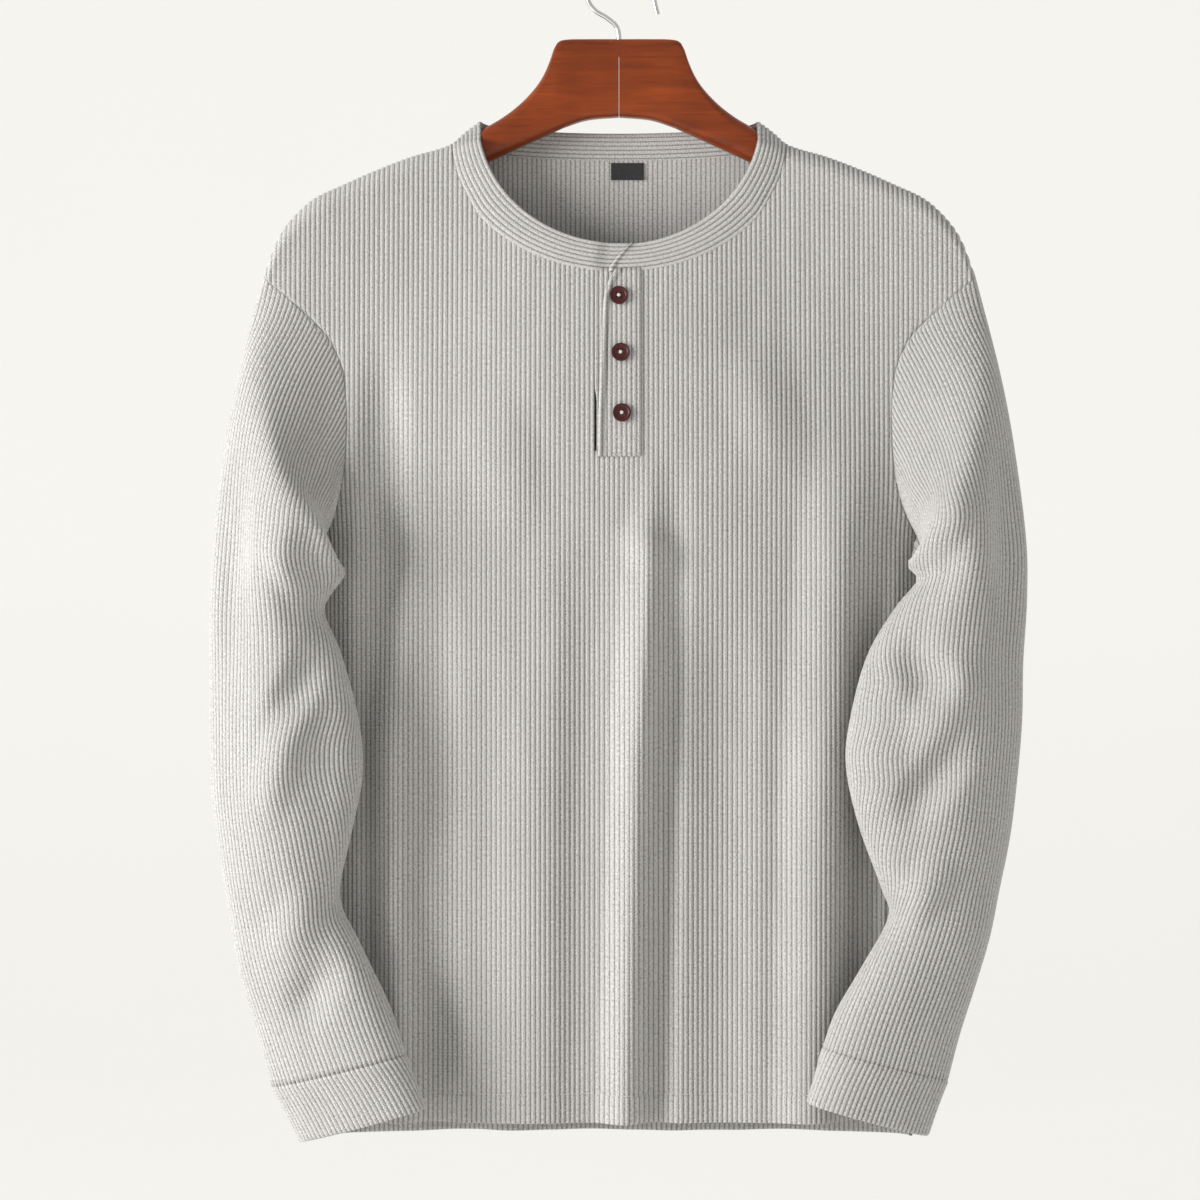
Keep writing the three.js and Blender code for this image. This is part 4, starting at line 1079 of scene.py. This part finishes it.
def button_disc(name, x, z, material):
    """A round button with a raised rim, a dished middle and four holes."""
    clear_selection()
    bpy.ops.mesh.primitive_cylinder_add(vertices=48, radius=BUTTON_RADIUS * MM, depth=BUTTON_THICK * MM)
    disc = bpy.context.object
    disc.name = name
    bpy.ops.object.mode_set(mode="EDIT")
    bpy.ops.mesh.select_mode(type="FACE")
    bpy.ops.mesh.select_all(action="DESELECT")
    bpy.ops.object.mode_set(mode="OBJECT")
    for face in disc.data.polygons:
        face.select = face.normal.z > 0.9
    bpy.ops.object.mode_set(mode="EDIT")
    for inset, sink in ((1.5, 0.35), (0.5, 0.45)):
        bpy.ops.mesh.inset(thickness=inset * MM)
        bpy.ops.transform.translate(value=(0, 0, -sink * MM))
    bpy.ops.object.mode_set(mode="OBJECT")
    apply_modifier(disc, "BEVEL", width=0.35 * MM, segments=3, limit_method="ANGLE", angle_limit=0.5)
    for side_x in (-1, 1):
        for side_y in (-1, 1):
            clear_selection()
            place = (side_x * HOLE_FROM_MIDDLE * MM, side_y * HOLE_FROM_MIDDLE * MM, 0)
            bpy.ops.mesh.primitive_cylinder_add(
                vertices=12, radius=HOLE_RADIUS * MM, depth=6 * MM, location=place
            )
            drill = bpy.context.object
            apply_modifier(disc, "BOOLEAN", object=drill, operation="DIFFERENCE", solver="EXACT")
            bpy.data.objects.remove(drill)
    face = Vector(body_normal(x, z, -1))
    disc.rotation_mode = "QUATERNION"
    disc.rotation_quaternion = Vector((0, 0, 1)).rotation_difference(face)
    disc.location = (Vector(body_point(x, z, -1)) + face * (BUTTON_FOOT + BUTTON_THICK / 2)) * MM
    select_only(disc)
    bpy.ops.object.transform_apply(location=True, rotation=True, scale=True)
    smooth_by_angle(disc, 35)
    disc.data.materials.clear()
    disc.data.materials.append(material)
    return disc


def button_thread(name, places, material):
    """Two crossing strands of thread through the four holes of each button."""
    lines = []
    t = np.linspace(-1, 1, 7)
    arch = (1 - t**2) * 0.45 - 0.35
    for x, z in places:
        face = body_normal(x, z, -1)
        centre = body_point(x, z, -1) + face * (BUTTON_FOOT + BUTTON_THICK - 0.55)
        across = unit(np.cross(face, np.array([0.0, 0.0, 1.0])))
        up = np.cross(across, face)
        for tilt in (1, -1):
            way = unit(across + tilt * up)
            for beside in (-0.33, 0.33):
                side = np.cross(way, face) * beside
                line = centre + np.outer(t * 1.95, way) + np.outer(arch, face) + side
                lines.append((line, np.repeat(face[None], len(t), axis=0)))
    return stitches(name, lines, material, length=3.2, gap=1.0, radius=0.36)


# Finishes


class Nodes:
    """Short words for the nodes of one tree. A value is a number, a colour or a node's output."""

    def __init__(self, tree):
        self.tree = tree

    def put(self, value, socket):
        if isinstance(value, bpy.types.NodeSocket):
            self.tree.links.new(value, socket)
        else:
            socket.default_value = value

    def add(self, kind, values=None, **settings):
        node = self.tree.nodes.new(kind)
        for key, value in settings.items():
            setattr(node, key, value)
        for slot, value in (values or {}).items():
            self.put(value, node.inputs[slot])
        return node

    def maths(self, operation, *values, clamp=False):
        node = self.add("ShaderNodeMath", dict(enumerate(values)), operation=operation, use_clamp=clamp)
        return node.outputs[0]

    def times(self, *values, clamp=False):
        return self.maths("MULTIPLY", *values, clamp=clamp)

    def plus(self, *values, clamp=False):
        return self.maths("ADD", *values, clamp=clamp)

    def blend(self, share, first, second):
        return self.add("ShaderNodeMix", {0: share, 6: first, 7: second}, data_type="RGBA").outputs[2]

    def noise(self, vector, scale, detail=2.0, roughness=0.5):
        values = {"Vector": vector, "Scale": scale, "Detail": detail, "Roughness": roughness}
        return self.add("ShaderNodeTexNoise", values).outputs[0]

    def spread(self, value, low, high, ends="From"):
        """Widens a value between two numbers to 0 to 1, or with ends "To" the other way round."""
        values = {"Value": value, f"{ends} Min": low, f"{ends} Max": high}
        return self.add("ShaderNodeMapRange", values).outputs[0]

    def point(self, *values):
        return self.add("ShaderNodeCombineXYZ", dict(enumerate(values))).outputs[0]

    def object_place(self):
        return self.add("ShaderNodeTexCoord").outputs["Object"]

    def group(self, name, **values):
        return self.add("ShaderNodeGroup", values, node_tree=bpy.data.node_groups[name]).outputs


class Finish(Nodes):
    """A material with its nodes."""

    def __init__(self, name):
        self.material = bpy.data.materials.new(name)
        self.material.use_nodes = True
        super().__init__(self.material.node_tree)
        self.tree.nodes.clear()
        self.shader = self.add("ShaderNodeBsdfPrincipled")
        self.add("ShaderNodeOutputMaterial", {0: self.shader.outputs[0]})

    def set(self, **values):
        for key, value in values.items():
            self.put(value, self.shader.inputs[key.replace("_", " ")])

    def bump(self, height, distance, strength):
        values = {"Strength": strength, "Distance": distance, "Height": height}
        self.set(Normal=self.add("ShaderNodeBump", values).outputs[0])


def group_nodes(name, inputs, outputs):
    """A new shader node group from the names and defaults of its inputs and the names and kinds of
    its outputs. A default of four numbers is a colour."""
    tree = bpy.data.node_groups.new(name, "ShaderNodeTree")
    for label, default in inputs.items():
        kind = "NodeSocketColor" if isinstance(default, tuple) else "NodeSocketFloat"
        tree.interface.new_socket(label, in_out="INPUT", socket_type=kind).default_value = default
    for label, kind in outputs.items():
        tree.interface.new_socket(label, in_out="OUTPUT", socket_type=kind)
    nodes = Nodes(tree)
    return nodes, nodes.add("NodeGroupInput").outputs


def yarn_group():
    """Knit courses with flecked yarn, read from a piece's own cloth map in metres. The rib valleys and
    the pits between the loops are painted darker as painted shade.
    """
    pale, dark = (0.7, 0.7, 0.68, 1), (0.3, 0.3, 0.3, 1)
    nodes, given = group_nodes(
        "Flecked knit with painted shade",
        {"Pale": pale, "Dark": dark, "Rib": 3.4, "Course": 2.2, "Valley shade": 0.85},
        {"Colour": "NodeSocketColor", "Height": "NodeSocketFloat"},
    )
    times, plus, maths = nodes.times, nodes.plus, nodes.maths
    place = nodes.add("ShaderNodeUVMap", uv_map="cloth").outputs[0]
    split = nodes.add("ShaderNodeSeparateXYZ", {0: place}).outputs
    across, along = times(split[0], 1 / MM), times(split[1], 1 / MM)
    leg = maths("ABSOLUTE", maths("SUBTRACT", maths("FRACT", maths("DIVIDE", across, given["Rib"])), 0.5))
    valley = maths("POWER", times(leg, 2.0), 4.0)
    wave = plus(maths("DIVIDE", along, given["Course"]), times(leg, 1.6))
    loop = maths("SINE", times(wave, 2 * math.pi))
    fleck = nodes.noise(nodes.point(times(across, 1.3), times(along, 0.5)), 1.0, 3.0, 0.65)
    fleck = nodes.spread(fleck, 0.42, 0.66)
    patch = nodes.spread(nodes.noise(nodes.point(across, times(along, 0.25)), 0.09), 0.3, 0.7)
    # Painted shade: the flanks of each rib are painted darker along every course, where the pits between
    # the loops lie.
    pit_shade = times(plus(times(loop, 0.5), 0.5), leg)
    shade = plus(times(fleck, 0.5), times(pit_shade, 0.5))
    # Painted shade: the rib valleys are painted towards the dark yarn; the flecks and patches mixed in
    # are the yarn's own tone.
    shade = plus(shade, times(valley, given["Valley shade"]))
    shade = plus(shade, times(patch, 0.08), clamp=True)
    height = times(times(loop, maths("SUBTRACT", 1.0, valley)), 0.35)
    height = plus(height, times(fleck, 0.4))
    colour = nodes.blend(shade, given["Pale"], given["Dark"])
    nodes.add("NodeGroupOutput", {"Colour": colour, "Height": height})


def wear_group():
    """Cloudy change of tone and fine dust, read in object coordinates."""
    base, worn = (0.5, 0.5, 0.5, 1), (0.6, 0.6, 0.6, 1)
    nodes, given = group_nodes(
        "Soft wear",
        {"Base": base, "Worn": worn, "Size": 60.0, "Amount": 0.3},
        {"Colour": "NodeSocketColor", "Mask": "NodeSocketFloat"},
    )
    mask = nodes.spread(nodes.noise(nodes.object_place(), given["Size"], 4.0), 0.35, 0.7)
    share = nodes.times(mask, given["Amount"], clamp=True)
    colour = nodes.blend(share, given["Base"], given["Worn"])
    nodes.add("NodeGroupOutput", {"Colour": colour, "Mask": mask})


def knit_finish(name, pale, dark, pitch):
    finish = Finish(name)
    yarn = finish.group("Flecked knit with painted shade", Pale=pale, Dark=dark, Rib=pitch)
    finish.bump(yarn["Height"], 0.00045, 0.8)
    finish.set(Base_Color=yarn["Colour"], Roughness=0.95, Specular_IOR_Level=0.2)
    finish.set(Sheen_Weight=0.18, Sheen_Roughness=0.45)


def wood_finish(name, light, dark):
    finish = Finish(name)
    place = finish.object_place()
    streak, fine = (
        finish.add("ShaderNodeMapping", {"Vector": place, "Scale": scale}).outputs[0]
        for scale in ((7, 60, 60), (20, 700, 700))
    )
    streak = finish.spread(finish.noise(streak, 2.2, 6.0, 0.6), 0.3, 0.7)
    pore = finish.spread(finish.noise(fine, 1.0), 0.55, 0.75)
    share = finish.plus(finish.times(streak, 0.6), finish.times(pore, 0.35), clamp=True)
    grain = finish.blend(share, light, dark)
    worn = finish.group("Soft wear", Base=grain, Worn=dark, Size=22.0, Amount=0.35)
    finish.bump(finish.times(pore, -0.5), 0.00008, 0.5)
    finish.set(Base_Color=worn["Colour"], Roughness=finish.spread(pore, 0.36, 0.5, ends="To"))
    finish.set(Coat_Weight=0.1, Coat_Roughness=0.2, Specular_IOR_Level=0.25)


def worn_finish(name, base, worn, size, amount, grain, **settings):
    """A plain finish with cloudy wear and a fine grain, for buttons, thread and wire."""
    finish = Finish(name)
    wear = finish.group("Soft wear", Base=base, Worn=worn, Size=size, Amount=amount)
    finish.bump(finish.noise(finish.object_place(), grain, 3.0), 0.00006, 0.5)
    finish.set(Base_Color=wear["Colour"], **settings)


def woven_finish(name, base, worn):
    finish = Finish(name)
    wear = finish.group("Soft wear", Base=base, Worn=worn, Size=900.0, Amount=0.5)
    place = finish.add("ShaderNodeUVMap", uv_map="cloth").outputs[0]
    weave = finish.add("ShaderNodeTexWave", {"Vector": place, "Scale": 520.0}, bands_direction="Y")
    finish.bump(weave.outputs[1], 0.0001, 0.6)
    finish.set(Base_Color=wear["Colour"], Roughness=0.75, Sheen_Weight=0.3)


# What a user may change


def length_property(name, description, default):
    return bpy.props.FloatProperty(
        name=name, description=description, default=default, subtype="DISTANCE", unit="LENGTH"
    )


def colour_property(name, description, default):
    return bpy.props.FloatVectorProperty(
        name=name, description=description, default=default, size=4, min=0, max=1, subtype="COLOR"
    )


class HenleySizes(bpy.types.PropertyGroup):
    """Sizes of the cloth, thread and view."""

    rib_pitch: length_property("Rib pitch", "Width of one rib of the knit", 3.4 * MM)
    rib_height: length_property("Rib height", "How far a rib stands out of the cloth", 0.36 * MM)
    thread_radius: length_property("Thread radius", "Half the width of a stitch", 0.24 * MM)
    camera_distance: length_property("Camera distance", "From the shirt to the camera", 3.0)


class HenleyColours(bpy.types.PropertyGroup):
    """Colours of the cloth, wood, buttons, neck tab, thread and paper."""

    yarn_pale: colour_property("Pale yarn", "Lighter fibres of the heather yarn", (0.65, 0.635, 0.61, 1))
    # The dark yarn is also the colour that the rib valleys and the pits between loops are painted
    # towards, as painted shade.
    yarn_dark: colour_property("Dark yarn", "Darker fibres of the heather yarn", (0.2, 0.193, 0.187, 1))
    wood_light: colour_property("Light wood", "Lacquered wood between the grain", (0.27, 0.046, 0.005, 1))
    wood_dark: colour_property("Dark wood", "Grain of the lacquered wood", (0.085, 0.013, 0.002, 1))
    button: colour_property("Button", "Dark red-brown of the buttons", (0.045, 0.007, 0.007, 1))
    label: colour_property("Label", "Bare tab in the neck", (0.008, 0.008, 0.01, 1))
    thread: colour_property("Thread", "Sewing thread", (0.62, 0.61, 0.58, 1))
    ground: colour_property("Ground", "Paper behind the shirt", (0.5, 0.495, 0.48, 1))


def sizes():
    return bpy.context.scene.henley_sizes


def colours():
    return bpy.context.scene.henley_colours


def finish_of(name):
    return bpy.data.materials[name]


def rib():
    return sizes().rib_height / MM


def knit():
    return Knit(sizes().rib_pitch / MM, rib(), finish_of("heather rib knit"))


def finished(piece, slot, *nodes):
    """Puts a piece on the shirt's one body, in the place of the plain solids it stands for."""
    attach(piece, "root")
    if nodes:
        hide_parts(*nodes)


class HENLEY_OT_finishes(bpy.types.Operator):
    """Makes the finishes of the yarn, wood, wire, buttons, label and thread"""

    bl_idname = "henley.finishes"
    bl_label = "Finishes"

    def execute(self, context):
        shades = colours()
        yarn_group()
        wear_group()
        knit_finish("heather rib knit", shades.yarn_pale, shades.yarn_dark, sizes().rib_pitch / MM)
        wood_finish("lacquered wood", shades.wood_light, shades.wood_dark)
        worn, wire, wire_worn = (0.09, 0.02, 0.018, 1), (0.78, 0.78, 0.77, 1), (0.6, 0.6, 0.6, 1)
        button = {"Roughness": 0.38, "Specular_IOR_Level": 0.3}
        worn_finish("dark button", shades.button, worn, 500.0, 0.5, 4000.0, **button)
        woven_finish("neck tab", shades.label, (0.03, 0.03, 0.034, 1))
        worn_finish("thread", shades.thread, (0.75, 0.74, 0.7, 1), 900.0, 0.6, 5000.0, Roughness=0.8)
        metal = {"Metallic": 1.0, "Roughness": 0.18}
        worn_finish("bright wire", wire, wire_worn, 200.0, 0.4, 2500.0, **metal)
        return {"FINISHED"}


class HENLEY_OT_panels(bpy.types.Operator):
    """Builds the front and back panels with their ribs and hems"""

    bl_idname = "henley.panels"
    bl_label = "Front and back"

    def execute(self, context):
        front = panel_shell("front_panel", -1, knit())
        finished(front, "knit", "front")
        back = panel_shell("back_panel", 1, knit())
        finished(back, "knit", "back")
        return {"FINISHED"}


class HENLEY_OT_sleeves(bpy.types.Operator):
    """Builds both sleeves and their cuffs"""

    bl_idname = "henley.sleeves"
    bl_label = "Sleeves and cuffs"

    def execute(self, context):
        for hand, word, rings, folds, bag, end in (
            (-1, "left", LEFT_RINGS, LEFT_SLEEVE_FOLDS, LEFT_BAG, LEFT_CUFF_END),
            (1, "right", RIGHT_RINGS, RIGHT_SLEEVE_FOLDS, RIGHT_BAG, RIGHT_CUFF_END),
        ):
            rows = sleeve_rows(hand, rings, folds, bag)
            sleeve = sleeve_shell(f"{word}_sleeve", rows, hand, knit())
            finished(sleeve, "knit", f"sleeve_{word}")
            cuff = cuff_shell(f"{word}_cuff", rows[-1], hand, end, knit())
            finished(cuff, "knit", f"cuff_{word}")
        return {"FINISHED"}


class HENLEY_OT_neckband(bpy.types.Operator):
    """Builds the rib band round the neck"""

    bl_idname = "henley.neckband"
    bl_label = "Neckband"

    def execute(self, context):
        band = band_shell("neck_band", knit())
        finished(band, "knit", "neckband")
        return {"FINISHED"}


def over_left(z):
    return follow(FREE_EDGE, z)


def under_left(z):
    return UNDER_LEFT + SLIT_OPENS * ease((SLIT_OPENS_Z - z) / 10)


class HENLEY_OT_placket(bpy.types.Operator):
    """Builds the two strips of the button opening"""

    bl_idname = "henley.placket"
    bl_label = "Button opening"

    def execute(self, context):
        lift = SEAM_GAP + CLOTH
        top = strip_shell("placket_over", over_left, PLACKET_RIGHT, lift, 1.2, RIM_HIGH - 0.3, knit())
        finished(top, "knit", "placket_top")
        under = strip_shell("placket_below", under_left, UNDER_RIGHT, -0.25, 0.2, 0, knit())
        finished(under, "knit", "placket_under")
        return {"FINISHED"}


class HENLEY_OT_buttons(bpy.types.Operator):
    """Builds the three buttons and the thread that holds them"""

    bl_idname = "henley.buttons"
    bl_label = "Buttons"

    def execute(self, context):
        for name, x, z in BUTTONS:
            finished(button_disc(f"{name}_disc", x, z, finish_of("dark button")), "button", name)
        places = [(x, z) for _, x, z in BUTTONS]
        finished(button_thread("button_thread", places, finish_of("thread")), "knit")
        return {"FINISHED"}


class HENLEY_OT_stitching(bpy.types.Operator):
    """Lays the stitches of the hems and of the button opening"""

    bl_idname = "henley.stitching"
    bl_label = "Stitching"

    def execute(self, context):
        lines = []
        for side in (-1, 1):
            x = np.linspace(-200, 200, 320)
            z = np.full_like(x, hem_z(side) + HEM_FOLD)
            lines.append(line_on_body(x, z, side, rib() + 0.15))
        z = np.linspace(PLACKET_BOTTOM_Z + 2, -226, 90)
        lift = CLOTH + SEAM_GAP + rib() + 0.1
        lines.append(line_on_body(np.full_like(z, PLACKET_RIGHT - 1.9), z, -1, lift))
        across = np.linspace(-14.0, PLACKET_RIGHT - 1.5, 30)
        for height in PLACKET_STITCHED:
            lines.append(line_on_body(across, np.full_like(across, height), -1, lift))
        radius = sizes().thread_radius / MM
        finished(stitches("hem_stitches", lines, finish_of("thread"), radius=radius), "knit")
        return {"FINISHED"}


class HENLEY_OT_label(bpy.types.Operator):
    """Builds the bare tab inside the back of the neck"""

    bl_idname = "henley.label"
    bl_label = "Neck tab"

    def execute(self, context):
        tab = label_shell("neck_tab", finish_of("neck tab"))
        finished(tab, "label", "neck_label")
        return {"FINISHED"}


class HENLEY_OT_hanger(bpy.types.Operator):
    """Builds the two halves of the wooden hanger and its hook"""

    bl_idname = "henley.hanger"
    bl_label = "Hanger"

    def execute(self, context):
        for hand, word in ((-1, "left"), (1, "right")):
            arm = hanger_half(f"hanger_arm_{word}", hand, finish_of("lacquered wood"))
            finished(arm, "wood", f"hanger_{word}")
        finished(hook_wire("hook_wire", finish_of("bright wire")), "metal", "hanger_hook")
        return {"FINISHED"}


class HENLEY_OT_stage(bpy.types.Operator):
    """Lays the pale paper, the soft light, the room's light and the camera"""

    bl_idname = "henley.stage"
    bl_label = "Stage"

    def execute(self, context):
        paper = Finish("pale paper")
        worn = (0.51, 0.505, 0.49, 1)
        wear = paper.group("Soft wear", Base=colours().ground, Worn=worn, Size=3.0, Amount=0.4)
        paper.set(Base_Color=wear["Colour"], Roughness=1.0)
        paper.set(Emission_Color=(1.0, 0.99, 0.955, 1), Emission_Strength=0.49)
        backdrop("paper_sweep", paper.material)
        soft_light("key_light")
        world = bpy.data.worlds.new("soft room")
        world.use_nodes = True
        background = world.node_tree.nodes["Background"]
        background.inputs["Color"].default_value = (1.0, 0.995, 0.985, 1)
        background.inputs["Strength"].default_value = ROOM_LIGHT
        context.scene.world = world
        context.scene.view_settings.view_transform = "Standard"
        photograph_camera(context.scene)
        return {"FINISHED"}


def backdrop(name, material):
    """A paper that lies well below the shirt and sweeps up into a wall behind it."""
    profile = [(PAPER_FRONT_Y, FLOOR_Z), (WALL_Y - PAPER_BEND, FLOOR_Z)]
    for k in range(1, 13):
        angle = math.pi / 2 * k / 12
        forward, up = PAPER_BEND * (1 - math.sin(angle)), PAPER_BEND * (1 - math.cos(angle))
        profile.append((WALL_Y - forward, FLOOR_Z + up))
    profile.append((WALL_Y, PAPER_TOP_Z))
    points = [(x, y, z) for x in (-PAPER_HALF, PAPER_HALF) for y, z in profile]
    count = len(profile)
    mesh = bpy.data.meshes.new(name)
    mesh.from_pydata(points, [], [(k, k + count, k + count + 1, k + 1) for k in range(count - 1)])
    placed(mesh, material)


def soft_light(name):
    lamp = bpy.data.lights.new(name, "AREA")
    lamp.shape = "DISK"
    lamp.size = LIGHT_SIZE
    lamp.energy = LIGHT_POWER
    light = bpy.data.objects.new(name, lamp)
    light.location = LIGHT_PLACE
    light.rotation_euler = (Vector(LIGHT_AIM) - Vector(LIGHT_PLACE)).to_track_quat("-Z", "Y").to_euler()
    bpy.context.collection.objects.link(light)


def photograph_camera(scene):
    """Level with the chest, its lens as long as makes FRAME_HIGH metres fill the frame."""
    distance = sizes().camera_distance
    lens = bpy.data.cameras.new("camera")
    lens.sensor_width = SENSOR
    lens.lens = SENSOR * distance / FRAME_HIGH
    camera = bpy.data.objects.new("camera", lens)
    camera.location = (CAMERA_X, -distance, CAMERA_Z)
    camera.rotation_euler = (math.pi / 2, 0, 0)
    bpy.context.collection.objects.link(camera)
    scene.camera = camera


STEPS = (
    HENLEY_OT_finishes,
    HENLEY_OT_panels,
    HENLEY_OT_sleeves,
    HENLEY_OT_neckband,
    HENLEY_OT_placket,
    HENLEY_OT_buttons,
    HENLEY_OT_stitching,
    HENLEY_OT_label,
    HENLEY_OT_hanger,
    HENLEY_OT_stage,
)


class HENLEY_PT_panel(bpy.types.Panel):
    """Lists the sizes, colours and building steps of the shirt"""

    bl_idname = "HENLEY_PT_panel"
    bl_label = "Henley shirt"
    bl_space_type = "VIEW_3D"
    bl_region_type = "UI"
    bl_category = "Henley"

    def draw(self, context):
        for group in (context.scene.henley_sizes, context.scene.henley_colours):
            for key in group.__annotations__:
                self.layout.prop(group, key)
        for step in STEPS:
            self.layout.operator(step.bl_idname)


CLASSES = (HenleySizes, HenleyColours, *STEPS, HENLEY_PT_panel)


def register():
    for kind in CLASSES:
        bpy.utils.register_class(kind)
    bpy.types.Scene.henley_sizes = bpy.props.PointerProperty(type=HenleySizes)
    bpy.types.Scene.henley_colours = bpy.props.PointerProperty(type=HenleyColours)


def unregister():
    del bpy.types.Scene.henley_colours
    del bpy.types.Scene.henley_sizes
    for kind in reversed(CLASSES):
        bpy.utils.unregister_class(kind)


def main():
    register()
    for step in STEPS:
        group, name = step.bl_idname.split(".")
        getattr(getattr(bpy.ops, group), name)()


if __name__ == "__main__":
    main()
